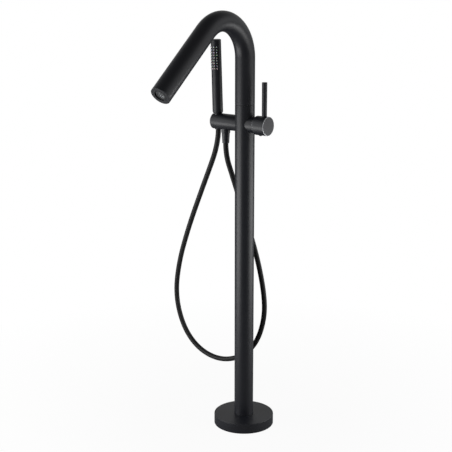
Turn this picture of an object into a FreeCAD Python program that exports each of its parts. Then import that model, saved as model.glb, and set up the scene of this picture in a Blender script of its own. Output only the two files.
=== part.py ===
import FreeCAD, Part
import math
import os
import Sketcher

# Floor standing bath filler: a round column with a bent swivel spout, a side lever mixer,
# and a pencil handset hanging in the opposite end of the cross bar on a free hose.
# Frame: origin on the floor under the column, +Z up, the cross bar along X (lever at +X,
# handset at -X), the spout towards -Y, which is the side of the bath.  Millimetres, degrees.

SIZES = [
    # base and floor fixing
    ("base_dia", 158.0, "cover disc on the floor"),
    ("base_height", 26.0, "cover disc height"),
    ("cover_wall", 2.0, "wall of the cover"),
    ("cover_edge", 0.9, "chamfer on the cover's top edge"),
    ("cover_gap", 0.4, "gap between cover and column"),
    ("cover_ring_wall", 1.5, "rubber ring between cover and column"),
    ("cover_ring_height", 2.0, "height of that ring"),
    ("cover_ring_room", 2.0, "room round that ring"),
    ("cover_lip", 1.0, "lip of the cover over that ring"),
    ("plate_room", 7.0, "room between floor plate and cover, all round"),
    ("plate_thick", 8.0, "floor plate thickness"),
    ("hub_dia", 66.0, "hub and clamp collar of the floor plate"),
    ("hub_height", 14.0, "where the column stands in the hub"),
    ("collar_room", 2.5, "room between the clamp collar and the cover's underside"),
    ("collar_gap", 0.05, "radial gap of the collar on the column"),
    ("anchor_circle", 112.0, "circle of the floor anchor holes"),
    ("anchor_hole", 7.0, "floor anchor hole"),
    ("inlet_bore", 18.6, "inlet bore, tapped for a half inch pipe thread"),
    ("inlet_depth", 11.0, "depth of the inlet thread"),
    ("inlet_offset", 12.0, "inlet and supply hose, distance from the axis"),
    ("water_bore", 9.0, "water way in the foot"),
    ("clamp_screw_dia", 5.0, "grub screws of the collar"),
    ("clamp_rise", 0.4, "those screws above the middle of the collar"),
    ("spigot_length", 56.0, "foot spigot inside the column"),
    ("spigot_gap", 0.15, "radial gap of the spigot in the column"),
    ("spigot_edge", 1.0, "chamfer of the spigot"),
    ("spigot_screw_dia", 6.0, "countersunk screws from below"),
    ("spigot_screw_offset", 15.0, "distance of those screws from the axis"),
    ("spigot_screw_length", 34.0, "their length"),
    ("spigot_screw_rise", 0.3, "their heads above the floor"),
    ("sink_gap", 0.3, "room round a countersunk head"),
    ("screw_way_gap", 0.2, "radial room of a screw in its way"),
    # column and supply
    ("column_dia", 50.0, "column and spout tube"),
    ("column_wall", 2.0, "wall of both tubes"),
    ("bar_height", 808.0, "axis of the cross bar"),
    ("seam_rise", 48.0, "top of the column, the swivel seam, above the bar axis"),
    ("seam_gap", 0.6, "open seam between column and spout"),
    ("supply_dia", 12.0, "supply hoses inside the column"),
    ("supply_bore", 8.0, "bore of the supply hoses"),
    ("supply_seat", 8.0, "depth of a supply hose in its seat"),
    ("seat_gap", 0.05, "radial gap of a push-in seat"),
    ("thread_gap", 0.02, "radial gap of a thread in its tapped hole"),
    # valve body
    ("valve_drop", 46.0, "underside of the valve body below the bar axis"),
    ("valve_inset", 4.0, "top of the valve body below the seam"),
    ("valve_gap", 0.15, "radial gap of the valve body in the column"),
    ("valve_edge", 1.0, "chamfer under the valve body"),
    ("mix_bore", 12.0, "diverter bore and riser in the valve body"),
    ("divert_depth", 8.0, "diverter bore in front of the axis"),
    ("bush_seat_depth", 12.0, "shoulder of the diverter bush, behind the axis"),
    ("mixed_share", 0.6, "mixed port against the diverter bore"),
    ("port_bore", 5.6, "hot and cold ports"),
    ("port_drop", 11.0, "ports below the bar axis"),
    ("port_offset", 9.0, "ports from the middle plane"),
    # lever side
    ("housing_wall", 2.9, "wall of the cartridge housing, which sets the cross bar's diameter"),
    ("housing_edge", 0.8, "chamfer of the housing's end"),
    ("arm_root", 8.0, "both arms drawn from inside the column and cut to its round"),
    ("cartridge_dia", 35.0, "cartridge"),
    ("cartridge_gap", 0.1, "radial gap round the cartridge"),
    ("cartridge_start", 9.0, "cartridge seat in the valve body"),
    ("cartridge_length", 23.8, "length of the cartridge"),
    ("disc_inset", 7.0, "fixed disc inside the cartridge"),
    ("port_seal", 4.0, "depth of the cartridge's ports"),
    ("port_step", 0.4, "cartridge's ports less than the valve's, on the radius"),
    ("port_share", 0.6, "inner ways against the ports"),
    ("nut_room", 5.2, "housing beyond the cartridge, for its nut"),
    ("nut_wall", 0.85, "thread of the cartridge nut beyond the cartridge bore"),
    ("nut_inset", 0.4, "cartridge nut behind the housing's end"),
    ("nut_bore", 22.6, "bore of the cartridge nut"),
    ("rotor_dia", 22.0, "cartridge rotor"),
    ("rotor_proud", 0.6, "rotor standing out of the cartridge"),
    ("rotor_gap", 0.3, "radial room round the rotor and discs"),
    ("disc_thick", 2.5, "ceramic discs"),
    ("disc_gap", 0.3, "film between the discs"),
    ("disc_room", 0.5, "moving disc less than the rotor, on the radius"),
    ("disc_share", 0.5, "mixed way of the fixed disc against the diverter bore"),
    ("rotor_base", 1.3, "floor of the rotor's slot"),
    ("pivot_depth", 3.4, "tilt axis behind the rotor's face"),
    ("pivot_dia", 3.0, "tilt pin"),
    ("pin_short", 0.8, "tilt pin inside the rotor at each end"),
    ("pin_gap", 0.08, "radial gap of the spindle on the pin"),
    ("tongue_width", 8.0, "flat of the spindle"),
    ("tongue_gap", 0.2, "side gap of the flat in the rotor"),
    ("tongue_reach", 6.3, "end of the flat behind the tilt axis"),
    ("tongue_height", 6.0, "height of the flat"),
    ("spindle_dia", 10.0, "round end of the spindle"),
    ("spindle_neck", 2.6, "round end before the rotor's face"),
    ("spindle_room", 0.2, "room beyond the spindle in the cap"),
    ("push_gap", 0.03, "radial gap of a pushed-in pin"),
    ("spindle_seat", 11.0, "depth of the spindle in the cap"),
    ("handle_room", 1.0, "room in the cap round the housing, for the tilt"),
    ("handle_gap", 0.6, "gap between housing and cap"),
    ("handle_length", 34.6, "length of the handle cap"),
    ("handle_wall", 2.5, "skirt of the handle cap"),
    ("handle_cavity", 8.4, "depth of the cavity in the cap"),
    ("handle_edge", 1.0, "chamfer of the cap"),
    ("lever_inset", 12.7, "lever pin before the cap's end face"),
    ("lever_dia", 12.8, "lever pin at its foot"),
    ("lever_tip_dia", 13.3, "lever pin at its top"),
    ("lever_edge", 1.0, "chamfer of the lever's top"),
    ("lever_gap", 0.06, "radial gap of the lever in the cap"),
    ("lever_rise", 84.0, "top of the lever above the cap"),
    ("lever_seat", 7.0, "foot of the pin in the cap"),
    ("lever_stud_dia", 8.0, "threaded stud under the pin"),
    ("lever_stud", 7.5, "length of that stud"),
    ("lever_stud_room", 0.3, "room under the stud"),
    ("plug_inset", 2.3, "grub screw and its plug beyond the cavity's floor"),
    ("plug_dia", 8.0, "plug over the grub screw"),
    ("plug_depth", 2.0, "plug inside the cap"),
    ("plug_side", 0.4, "straight share of what stands out"),
    ("plug_crown", 0.85, "share at the edge of its crown"),
    ("plug_crown_width", 0.6, "width of that crown against the plug"),
    ("plug_proud", 1.8, "plug standing out of the cap"),
    ("grub_dia", 5.0, "grub screw of the handle"),
    ("grub_inset", 10.0, "outer end of the grub screw inside the cap"),
    # handset side of the bar
    ("bar_end", 97.6, "free end of the cross bar"),
    ("bar_edge", 0.8, "chamfer of the free end"),
    ("transfer_dia", 14.0, "transfer tube between valve body and bar"),
    ("transfer_bore", 10.0, "its bore"),
    ("transfer_in", 13.0, "inner end of the transfer tube"),
    ("transfer_length", 32.0, "length of the transfer tube"),
    ("transfer_hole_gap", 0.2, "column's hole round the tube"),
    ("outlet_inset", 36.6, "hose outlet before the free end of the bar"),
    ("outlet_boss_dia", 23.0, "boss under the bar"),
    ("outlet_boss_proud", 7.1, "boss face below the bar"),
    ("nipple_dia", 16.6, "outlet nipple, three eighths thread"),
    ("nipple_bore", 10.0, "its bore"),
    ("nipple_out", 12.4, "nipple standing out of the boss"),
    ("nipple_in", 15.6, "nipple in the boss"),
    ("nipple_room", 0.2, "room over the nipple"),
    ("check_bore", 4.0, "bore of the check valve"),
    ("check_inset", 3.0, "check valve above the nipple's foot"),
    ("check_top", 4.0, "check valve below the nipple's top"),
    ("washer_thick", 2.0, "hose washers"),
    ("nut_gap", 0.3, "gap between hose nut and its boss"),
    ("outlet_nut_top_dia", 20.8, "conical outlet nut, top"),
    ("outlet_nut_low_dia", 17.5, "conical outlet nut, foot"),
    ("outlet_nut_length", 27.0, "conical outlet nut, length"),
    ("hose_dia", 13.5, "handset hose"),
    ("hose_first_run", 31.0, "hose hanging straight under the outlet nut"),
    ("hose_last_run", 14.0, "hose straight under the hose cone"),
    # handset and its holder, measured along an axis that leans towards the bath
    ("holder_inset", 11.6, "holder bore before the free end of the bar"),
    ("handset_lean", 2.4, "lean of holder bore and handset"),
    ("cone_gap", 0.08, "radial gap of the hose cone in the holder"),
    ("cone_top_dia", 21.4, "hose cone at its top"),
    ("cone_low_dia", 17.6, "hose cone at its foot"),
    ("cone_proud", 0.4, "top of the hose cone above the bar"),
    ("cone_below", 0.5, "foot of the hose cone below the bar"),
    ("slot_width", 14.7, "slot of the holder for the hose"),
    ("stud_dia", 16.6, "threaded stud of the handset"),
    ("stud_length", 15.0, "how far it stands out of the handset"),
    ("stud_bore", 9.0, "its bore"),
    ("stud_gap", 0.06, "radial gap of the stud in the hose cone"),
    ("handset_gap", 0.3, "gap between hose cone and handset"),
    ("handset_dia", 27.0, "handset at its foot"),
    ("handset_top_dia", 26.0, "handset at its top"),
    ("handset_length", 185.8, "length of the handset"),
    ("handset_wall", 1.6, "shell of the handset"),
    ("handset_roof", 2.0, "closed end of the handset"),
    ("handset_bevel", 3.6, "height of the bevel at the foot of the handset"),
    ("handset_bevel_in", 1.4, "how far the bevel draws in"),
    ("handset_edge", 1.2, "edge radius at the top"),
    ("base_plug", 14.0, "foot ring inside the shell"),
    ("core_dia", 18.0, "water way of the handset"),
    ("core_wall", 1.5, "its wall"),
    ("nozzle_inset", 18.4, "highest nozzle row below the top of the handset"),
    ("nozzle_pitch", 6.7, "pitch of the nozzle rows"),
    ("nozzle_rows", 9.0, "nozzle rows"),
    ("nozzle_fan", 90.0, "angle over which the nozzle columns spread"),
    ("nozzle_columns", 4.0, "nozzle columns"),
    ("nozzle_dia", 3.2, "nozzle holes in the shell"),
    ("nozzle_gap", 0.1, "radial gap of a nozzle in its hole"),
    ("nozzle_proud", 1.5, "nozzles standing out of the shell"),
    ("mat_wall", 1.4, "silicone mat behind the shell"),
    ("mat_reach", 6.0, "mat beyond the first and the last nozzle row"),
    # swivel
    ("post_dia", 24.0, "swivel post"),
    ("post_bore", 14.0, "its bore"),
    ("post_edge", 0.8, "chamfer of the post's top"),
    ("post_room", 1.0, "room over the post in the bush"),
    ("post_rise", 49.0, "top of the swivel post above the seam"),
    ("post_flange_dia", 34.0, "flange of the post"),
    ("post_flange", 2.0, "its thickness"),
    ("post_stub_dia", 18.0, "stub of the post in the valve body"),
    ("post_stub", 7.0, "length of that stub"),
    ("glide_dia", 44.0, "glide ring under the spout bush"),
    ("glide_gap", 0.2, "radial room between post flange and glide ring"),
    ("swivel_gap", 0.08, "radial running gap of the swivel"),
    ("run_gap", 0.35, "axial running gap"),
    ("seal_low_rise", 16.0, "lower swivel seal above the seam"),
    ("seal_high_rise", 40.0, "upper swivel seal above the seam"),
    ("seal_wire", 2.2, "height of a swivel seal"),
    ("bush_rise", 70.0, "top of the spout bush above the seam"),
    ("groove_rise", 28.0, "groove for the spout's set screw above the seam"),
    ("groove_width", 5.0, "its width"),
    ("groove_depth", 1.4, "its depth"),
    ("spout_swing", 50.0, "swing of the spout to each side, clear of the handset as it is lifted"),
    ("stop_spare", 0.5, "spare angle at each stop of the swing"),
    ("set_screw_dia", 4.0, "set screw of the spout"),
    ("set_screw_gap", 0.4, "its tip from the groove's floor, its head inside the tube"),
    # spout
    ("bend_rise", 116.0, "start of the spout's bend above the seam"),
    ("bend_radius", 93.5, "centre line radius of the bend"),
    ("bend_angle", 130.0, "angle of the bend"),
    ("spout_run", 212.0, "straight run of the spout after the bend"),
    ("spout_hose_dia", 14.0, "water hose inside the spout"),
    ("spout_hose_wall", 2.0, "its wall"),
    ("spout_hose_seat", 8.0, "its seats"),
    ("mouth_length", 26.0, "insert in the spout's mouth"),
    ("mouth_gap", 0.05, "radial gap of the insert in the tube"),
    ("mouth_recess_dia", 31.0, "recess in the mouth"),
    ("mouth_recess", 3.0, "depth of the recess"),
    ("aerator_dia", 24.0, "aerator housing"),
    ("aerator_length", 11.0, "its length"),
    ("aerator_wall", 2.0, "its wall"),
    ("aerator_proud", 1.0, "aerator in front of the recess floor"),
    ("aerator_edge", 0.4, "its chamfer"),
    ("aerator_room", 0.3, "room behind the aerator"),
    ("lip_thick", 1.0, "thickness of its lip"),
    ("aerator_lip", 1.2, "lip that holds the grid"),
    ("grid_thick", 3.0, "grid of the aerator"),
    ("grid_hole", 2.6, "holes of the grid"),
    ("grid_circle", 12.4, "outer circle of the grid's holes"),
    ("grid_count", 9.0, "holes on the outer circle"),
    ("grid_inner_count", 4.0, "holes on the inner circle"),
    # diverter at the back of the column
    ("divert_stem_dia", 5.0, "stem of the diverter"),
    ("divert_spool", 5.0, "length of the spool"),
    ("divert_gap", 0.1, "radial running gap of stem and spool"),
    ("spool_inset", 0.5, "spool from the end of its bore"),
    ("divert_root", 5.0, "flange drawn from inside the column"),
    ("bush_end_gap", 0.1, "bush from its shoulder"),
    ("divert_hole_gap", 0.1, "column's hole round the bush"),
    ("divert_bush_dia", 17.0, "bush of the diverter"),
    ("divert_flange_dia", 22.0, "its flange on the column"),
    ("divert_flange_proud", 4.0, "flange face behind the column"),
    ("divert_flange_edge", 0.6, "chamfer of the flange"),
    ("divert_knob_dia", 13.0, "knob"),
    ("divert_knob_gap", 1.0, "gap between flange and knob"),
    ("divert_knob_length", 12.0, "length of the knob"),
    ("divert_knob_seat", 8.0, "depth of the stem in the knob"),
    ("divert_knob_edge", 1.0, "chamfer of the knob"),
]

doc = FreeCAD.newDocument("bath_filler")
sheet = doc.addObject("Spreadsheet::Sheet", "sizes")
for row, (alias, value, note) in enumerate(SIZES, 1):
    sheet.set("A%d" % row, alias)
    sheet.set("B%d" % row, repr(value))
    sheet.set("C%d" % row, note)
    sheet.setAlias("B%d" % row, alias)
doc.recompute()


class Size:
    """A length or angle that knows its number and the sheet expression it stands for."""

    def __init__(self, value, text):
        self.value = float(value)
        self.text = text

    @staticmethod
    def of(other):
        if isinstance(other, Size):
            return other
        return Size(other, repr(float(other)) if other >= 0 else "(%r)" % float(other))

    def __add__(self, other):
        other = Size.of(other)
        return Size(self.value + other.value, "(%s + %s)" % (self.text, other.text))

    def __sub__(self, other):
        other = Size.of(other)
        return Size(self.value - other.value, "(%s - %s)" % (self.text, other.text))

    def __mul__(self, other):
        other = Size.of(other)
        return Size(self.value * other.value, "(%s * %s)" % (self.text, other.text))

    def __truediv__(self, other):
        other = Size.of(other)
        return Size(self.value / other.value, "(%s / %s)" % (self.text, other.text))

    def __radd__(self, other):
        return Size.of(other) + self

    def __rsub__(self, other):
        return Size.of(other) - self

    def __rmul__(self, other):
        return Size.of(other) * self

    def __neg__(self):
        return Size(0, "0") - self


def sind(angle):
    return Size(math.sin(math.radians(angle.value)), "sin(%s)" % angle.text)


def cosd(angle):
    return Size(math.cos(math.radians(angle.value)), "cos(%s)" % angle.text)


def asind(ratio):
    return Size(math.degrees(math.asin(ratio.value)), "(asin(%s) / 1deg)" % ratio.text)


V = FreeCAD.Vector
OVER = 1.0  # how far a cutting tool runs past the face it opens
S = {}
for alias, value, note in SIZES:
    S[alias] = Size(value, "sizes.%s" % alias)

# ---------------------------------------------------------------- places that follow from the sizes
# foot
S["plate_dia"] = S["base_dia"] - (S["cover_wall"] + S["plate_room"]) * 2
S["collar_top"] = S["base_height"] - S["cover_wall"] - S["collar_room"]
# heights over the floor, all carried by the bar's axis
S["seam_height"] = S["bar_height"] + S["seam_rise"]
S["valve_low"] = S["bar_height"] - S["valve_drop"]
S["valve_top"] = S["seam_height"] - S["valve_inset"]
S["post_top"] = S["seam_height"] + S["post_rise"]
S["seal_low"] = S["seam_height"] + S["seal_low_rise"]
S["seal_high"] = S["seam_height"] + S["seal_high_rise"]
S["groove_height"] = S["seam_height"] + S["groove_rise"]
S["bush_top"] = S["seam_height"] + S["bush_rise"]
S["bend_height"] = S["seam_height"] + S["bend_rise"]
# along the bar towards the lever
S["bar_dia"] = S["cartridge_dia"] + (S["cartridge_gap"] + S["housing_wall"]) * 2
S["cartridge_end"] = S["cartridge_start"] + S["cartridge_length"]
S["housing_end"] = S["cartridge_end"] + S["nut_room"]
S["rotor_end"] = S["cartridge_end"] + S["rotor_proud"]
S["pivot_place"] = S["rotor_end"] - S["pivot_depth"]
S["handle_dia"] = S["bar_dia"] + (S["handle_room"] + S["handle_wall"]) * 2
S["handle_start"] = S["housing_end"] + S["handle_gap"]
S["handle_end"] = S["handle_start"] + S["handle_length"]
S["handle_floor"] = S["handle_start"] + S["handle_cavity"]
S["spindle_end"] = S["handle_floor"] + S["spindle_seat"]
S["plug_place"] = S["handle_floor"] + S["plug_inset"]
S["lever_place"] = S["handle_end"] - S["lever_inset"]
# above the bar's axis
S["lever_top"] = S["handle_dia"] / 2 + S["lever_rise"]
S["lever_foot"] = S["handle_dia"] / 2 - S["lever_seat"]
S["lever_stud_end"] = S["lever_foot"] - S["lever_stud"]
# along the bar towards the handset
S["transfer_out"] = S["transfer_in"] + S["transfer_length"]
S["outlet_place"] = S["bar_end"] - S["outlet_inset"]
S["holder_place"] = S["bar_end"] - S["holder_inset"]
# below and above the bar's axis, along the outlet and the holder
S["outlet_boss_drop"] = S["bar_dia"] / 2 + S["outlet_boss_proud"]
S["nipple_low"] = S["outlet_boss_drop"] + S["nipple_out"]
S["nipple_high"] = S["outlet_boss_drop"] - S["nipple_in"]
S["cone_top"] = S["bar_dia"] / 2 + S["cone_proud"]
S["cone_drop"] = S["bar_dia"] / 2 + S["cone_below"]
S["handset_start"] = S["cone_top"] + S["handset_gap"]
S["handset_top"] = S["handset_start"] + S["handset_length"]
S["nozzle_last"] = S["handset_top"] - S["nozzle_inset"]
S["nozzle_first"] = S["nozzle_last"] - S["nozzle_pitch"] * (S["nozzle_rows"] - 1)
# behind the column
S["divert_flange_out"] = S["column_dia"] / 2 + S["divert_flange_proud"]
S["divert_knob_start"] = S["divert_flange_out"] + S["divert_knob_gap"]
S["divert_knob_end"] = S["divert_knob_start"] + S["divert_knob_length"]


# ---------------------------------------------------------------- drawing helpers
def bind(obj, prop, size):
    size = Size.of(size)
    setattr(obj, prop, size.value)
    if "sizes." in size.text:
        obj.setExpression(prop, size.text)


AXES = {
    "z": FreeCAD.Rotation(V(0, 0, 1), 0),
    "-z": FreeCAD.Rotation(V(1, 0, 0), 180),
    "x": FreeCAD.Rotation(V(0, 1, 0), 90),
    "-x": FreeCAD.Rotation(V(0, 1, 0), -90),
    "y": FreeCAD.Rotation(V(1, 0, 0), -90),
    "-y": FreeCAD.Rotation(V(1, 0, 0), 90),
}


def place(obj, at, turn=None, tilt=None):
    """Put obj at a point; turn is a fixed rotation, tilt an angle about X tied to the sheet."""
    at = [Size.of(c) for c in at]
    rotation = turn if turn is not None else FreeCAD.Rotation()
    if tilt is not None:
        rotation = FreeCAD.Rotation(V(1, 0, 0), tilt.value)
    obj.Placement = FreeCAD.Placement(V(at[0].value, at[1].value, at[2].value), rotation)
    for name, c in zip("xyz", at):
        if "sizes." in c.text:
            obj.setExpression("Placement.Base.%s" % name, c.text)
    if tilt is not None:
        obj.setExpression("Placement.Rotation.Angle", tilt.text)
    return obj


def cylinder(name, radius, start, end, axis="z", at=(0, 0, 0), tilt=None):
    """Solid cylinder of a radius from start to end along an axis through a point."""
    start = Size.of(start)
    end = Size.of(end)
    obj = doc.addObject("Part::Cylinder", name)
    bind(obj, "Radius", radius)
    bind(obj, "Height", end - start)
    at = [Size.of(c) for c in at]
    sign = -1.0 if axis[0] == "-" else 1.0
    k = "xyz".index(axis[-1])
    at[k] = at[k] + start * sign
    return place(obj, at, AXES[axis], tilt)


def cone(name, low, high, start, end, axis="z", at=(0, 0, 0)):
    start = Size.of(start)
    end = Size.of(end)
    obj = doc.addObject("Part::Cone", name)
    bind(obj, "Radius1", low)
    bind(obj, "Radius2", high)
    bind(obj, "Height", end - start)
    at = [Size.of(c) for c in at]
    sign = -1.0 if axis[0] == "-" else 1.0
    k = "xyz".index(axis[-1])
    at[k] = at[k] + start * sign
    return place(obj, at, AXES[axis])


def box(name, x, y, z):
    """Box from three (low, high) pairs."""
    obj = doc.addObject("Part::Box", name)
    pairs = [(Size.of(a), Size.of(b)) for a, b in (x, y, z)]
    for prop, (a, b) in zip(("Length", "Width", "Height"), pairs):
        bind(obj, prop, b - a)
    return place(obj, [p[0] for p in pairs])


def cut(name, base, *tools):
    """Base less the tools, as one node of its own."""
    tool = tools[0]
    if len(tools) > 1:
        tool = doc.addObject("Part::MultiFuse", name + "_tools")
        tool.Shapes = list(tools)
    obj = doc.addObject("Part::Cut", name)
    obj.Base = base
    obj.Tool = tool
    return obj


def fuse(name, *parts):
    obj = doc.addObject("Part::MultiFuse", name)
    obj.Shapes = list(parts)
    return obj


def new_body(name):
    return doc.addObject("PartDesign::Body", name)


def origin(body, role):
    return [o for o in body.Origin.OriginFeatures if o.Role == role][0]


def sketch(body, name, role, lift=None):
    sk = body.newObject("Sketcher::SketchObject", name)
    sk.AttachmentSupport = [(origin(body, role), "")]
    sk.MapMode = "FlatFace"
    if lift is not None:
        sk.AttachmentOffset = FreeCAD.Placement(V(0, 0, lift.value), FreeCAD.Rotation())
        sk.setExpression("AttachmentOffset.Base.z", lift.text)
    return sk


def hold(sk, kind, geo, point, size):
    """One driving dimension of a sketch, tied to the sheet."""
    size = Size.of(size)
    index = sk.addConstraint(Sketcher.Constraint(kind, geo, point, size.value))
    if "sizes." in size.text:
        sk.setExpression("Constraints[%d]" % index, size.text)


def outline(sk, points):
    """Closed polygon whose corners are all dimensioned from the sketch origin."""
    points = [(Size.of(a), Size.of(b)) for a, b in points]
    n = len(points)
    for i in range(n):
        a = points[i]
        b = points[(i + 1) % n]
        start = V(a[0].value, a[1].value, 0)
        end = V(b[0].value, b[1].value, 0)
        sk.addGeometry(Part.LineSegment(start, end), False)
    for i in range(n):
        sk.addConstraint(Sketcher.Constraint("Coincident", i, 2, (i + 1) % n, 1))
    for i, (a, b) in enumerate(points):
        hold(sk, "DistanceX", i, 1, a)
        hold(sk, "DistanceY", i, 1, b)


def circle(sk, x, y, radius):
    x = Size.of(x)
    y = Size.of(y)
    radius = Size.of(radius)
    geo = sk.addGeometry(Part.Circle(V(x.value, y.value, 0), V(0, 0, 1), radius.value), False)
    hold(sk, "DistanceX", geo, 3, x)
    hold(sk, "DistanceY", geo, 3, y)
    index = sk.addConstraint(Sketcher.Constraint("Radius", geo, radius.value))
    if "sizes." in radius.text:
        sk.setExpression("Constraints[%d]" % index, radius.text)


def turned(name, points, axis="z", at=None, tilt=None):
    """Turned piece.  Corners are (radius, z) on axis z, (x, radius) on x, (y, radius) on y."""
    body = new_body(name)
    sk = sketch(body, name + "_profile", "YZ_Plane" if axis == "y" else "XZ_Plane")
    outline(sk, points)
    rev = body.newObject("PartDesign::Revolution", name + "_turn")
    rev.Profile = sk
    rev.ReferenceAxis = (sk, ["V_Axis" if axis == "z" else "H_Axis"])
    rev.Angle = 360
    if at is not None or tilt is not None:
        place(body, at or (0, 0, 0), None, tilt)
    return body


def ring(name, inner, outer, start, end):
    """Tube or washer on the column's axis, padded from two circles."""
    body = new_body(name)
    sk = sketch(body, name + "_section", "XY_Plane", Size.of(start))
    circle(sk, 0, 0, outer)
    circle(sk, 0, 0, inner)
    pad = body.newObject("PartDesign::Pad", name + "_length")
    pad.Profile = sk
    bind(pad, "Length", Size.of(end) - start)
    return body


# ---------------------------------------------------------------- shared places
column_r = S["column_dia"] / 2
column_in = column_r - S["column_wall"]
bar_z = S["bar_height"]
bar_r = S["bar_dia"] / 2
on_bar = (0, 0, bar_z)

# ---------------------------------------------------------------- foot
screw_r = S["spigot_screw_dia"] / 2
plate = turned("floor_plate_turned", [
    (0, 0),
    (S["plate_dia"] / 2, 0),
    (S["plate_dia"] / 2, S["plate_thick"]),
    (S["hub_dia"] / 2, S["plate_thick"]),
    (S["hub_dia"] / 2, S["collar_top"]),
    (column_r + S["collar_gap"], S["collar_top"]),
    (column_r + S["collar_gap"], S["hub_height"]),
    (0, S["hub_height"]),
])
anchor_sketch = sketch(plate, "anchor_hole_sketch", "XY_Plane")
diagonal = S["anchor_circle"] / 2 * math.cos(math.radians(45))
circle(anchor_sketch, diagonal, diagonal, S["anchor_hole"] / 2)
doc.recompute()
anchor_pocket = plate.newObject("PartDesign::Pocket", "anchor_hole")
anchor_pocket.Profile = anchor_sketch
bind(anchor_pocket, "Length", S["plate_thick"] * 2)
anchor_pocket.Reversed = True
anchors = plate.newObject("PartDesign::PolarPattern", "anchor_holes")
anchors.Originals = [anchor_pocket]
anchors.Axis = (origin(plate, "Z_Axis"), [""])
anchors.Angle = 360
anchors.Occurrences = 4
plate.Tip = anchors

plate_tools = []
for side, word in ((-1, "hot"), (1, "cold")):
    y = S["inlet_offset"] * side
    inlet_r = S["inlet_bore"] / 2
    plate_tools.append(cylinder("inlet_" + word, inlet_r, -OVER, S["inlet_depth"], "z", (0, y, 0)))
    way_top = S["hub_height"] + OVER
    plate_tools.append(cylinder("foot_way_" + word, S["water_bore"] / 2, 0, way_top, "z", (0, y, 0)))
sink = screw_r * 2 + S["sink_gap"]
for side in (-1, 1):
    x = S["spigot_screw_offset"] * side
    way_r = screw_r + S["screw_way_gap"]
    plate_tools.append(cylinder("foot_screw_way", way_r, -OVER, S["hub_height"] + OVER, "z", (x, 0, 0)))
    plate_tools.append(cone("foot_screw_sink", sink, screw_r, 0, sink - screw_r, "z", (x, 0, 0)))
CLAMP_ANGLES = (90, 210, 330)
clamp_z = (S["hub_height"] + S["collar_top"]) / 2 + S["clamp_rise"]
for angle in CLAMP_ANGLES:
    hole = doc.addObject("Part::Cylinder", "clamp_hole")
    bind(hole, "Radius", S["clamp_screw_dia"] / 2 + S["thread_gap"])
    bind(hole, "Height", S["hub_dia"] / 2 - column_r + OVER * 2)
    c = round(math.cos(math.radians(angle)), 9)
    s = round(math.sin(math.radians(angle)), 9)
    turn = FreeCAD.Rotation(V(0, 0, 1), angle) * AXES["x"]
    place(hole, ((column_r - OVER) * c, (column_r - OVER) * s, clamp_z), turn)
    plate_tools.append(hole)
floor_plate = cut("floor_plate", plate, *plate_tools)

clamp_screws = []
for number, angle in enumerate(CLAMP_ANGLES, 1):
    screw = doc.addObject("Part::Cylinder", "collar_screw_%d" % number)
    bind(screw, "Radius", S["clamp_screw_dia"] / 2)
    bind(screw, "Height", S["hub_dia"] / 2 - column_r)
    c = round(math.cos(math.radians(angle)), 9)
    s = round(math.sin(math.radians(angle)), 9)
    turn = FreeCAD.Rotation(V(0, 0, 1), angle) * AXES["x"]
    place(screw, (column_r * c, column_r * s, clamp_z), turn)
    clamp_screws.append(screw)

spigot_r = column_in - S["spigot_gap"]
spigot_top = S["hub_height"] + S["spigot_length"]
spigot = turned("column_spigot_turned", [
    (0, S["hub_height"]),
    (spigot_r, S["hub_height"]),
    (spigot_r, spigot_top - S["spigot_edge"]),
    (spigot_r - S["spigot_edge"], spigot_top),
    (0, spigot_top),
])
seat_r = S["supply_dia"] / 2 + S["seat_gap"]
supply_low = spigot_top - S["supply_seat"]
supply_high = S["valve_low"] + S["supply_seat"]
spigot_tools = []
for side in (-1, 1):
    y = S["inlet_offset"] * side
    way_low = S["hub_height"] - OVER
    spigot_tools.append(cylinder("spigot_way", S["water_bore"] / 2, way_low, spigot_top, "z", (0, y, 0)))
    spigot_tools.append(cylinder("spigot_seat", seat_r, supply_low, spigot_top + OVER, "z", (0, y, 0)))
    x = S["spigot_screw_offset"] * side
    top = S["spigot_screw_length"] + OVER
    thread_r = screw_r + S["thread_gap"]
    spigot_tools.append(cylinder("spigot_thread", thread_r, way_low, top, "z", (x, 0, 0)))
column_spigot = cut("column_spigot", spigot, *spigot_tools)

spigot_screws = []
for side, word in ((-1, "left"), (1, "right")):
    spigot_screws.append(turned("spigot_screw_" + word, [
        (0, S["spigot_screw_rise"]),
        (screw_r * 2, S["spigot_screw_rise"]),
        (screw_r, screw_r + S["spigot_screw_rise"]),
        (screw_r, S["spigot_screw_length"]),
        (0, S["spigot_screw_length"]),
    ], at=(S["spigot_screw_offset"] * side, 0, 0)))

ring_top = S["base_height"] - S["cover_lip"]
ring_low = ring_top - S["cover_ring_height"]
ring_out = column_r + S["cover_ring_wall"]
ring_room = ring_out + S["cover_ring_room"]
cover_out = S["base_dia"] / 2
cover_in = cover_out - S["cover_wall"]
cover_under = S["base_height"] - S["cover_wall"]
base_cover = turned("base_cover", [
    (column_r + S["cover_gap"], S["base_height"]),
    (cover_out - S["cover_edge"], S["base_height"]),
    (cover_out, S["base_height"] - S["cover_edge"]),
    (cover_out, 0),
    (cover_in, 0),
    (cover_in, cover_under),
    (ring_room, cover_under),
    (ring_room, ring_low),
    (ring_out, ring_low),
    (ring_out, ring_top),
    (column_r + S["cover_gap"], ring_top),
])
cover_ring = ring("cover_ring", column_r, ring_out, ring_low, ring_top)

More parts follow.
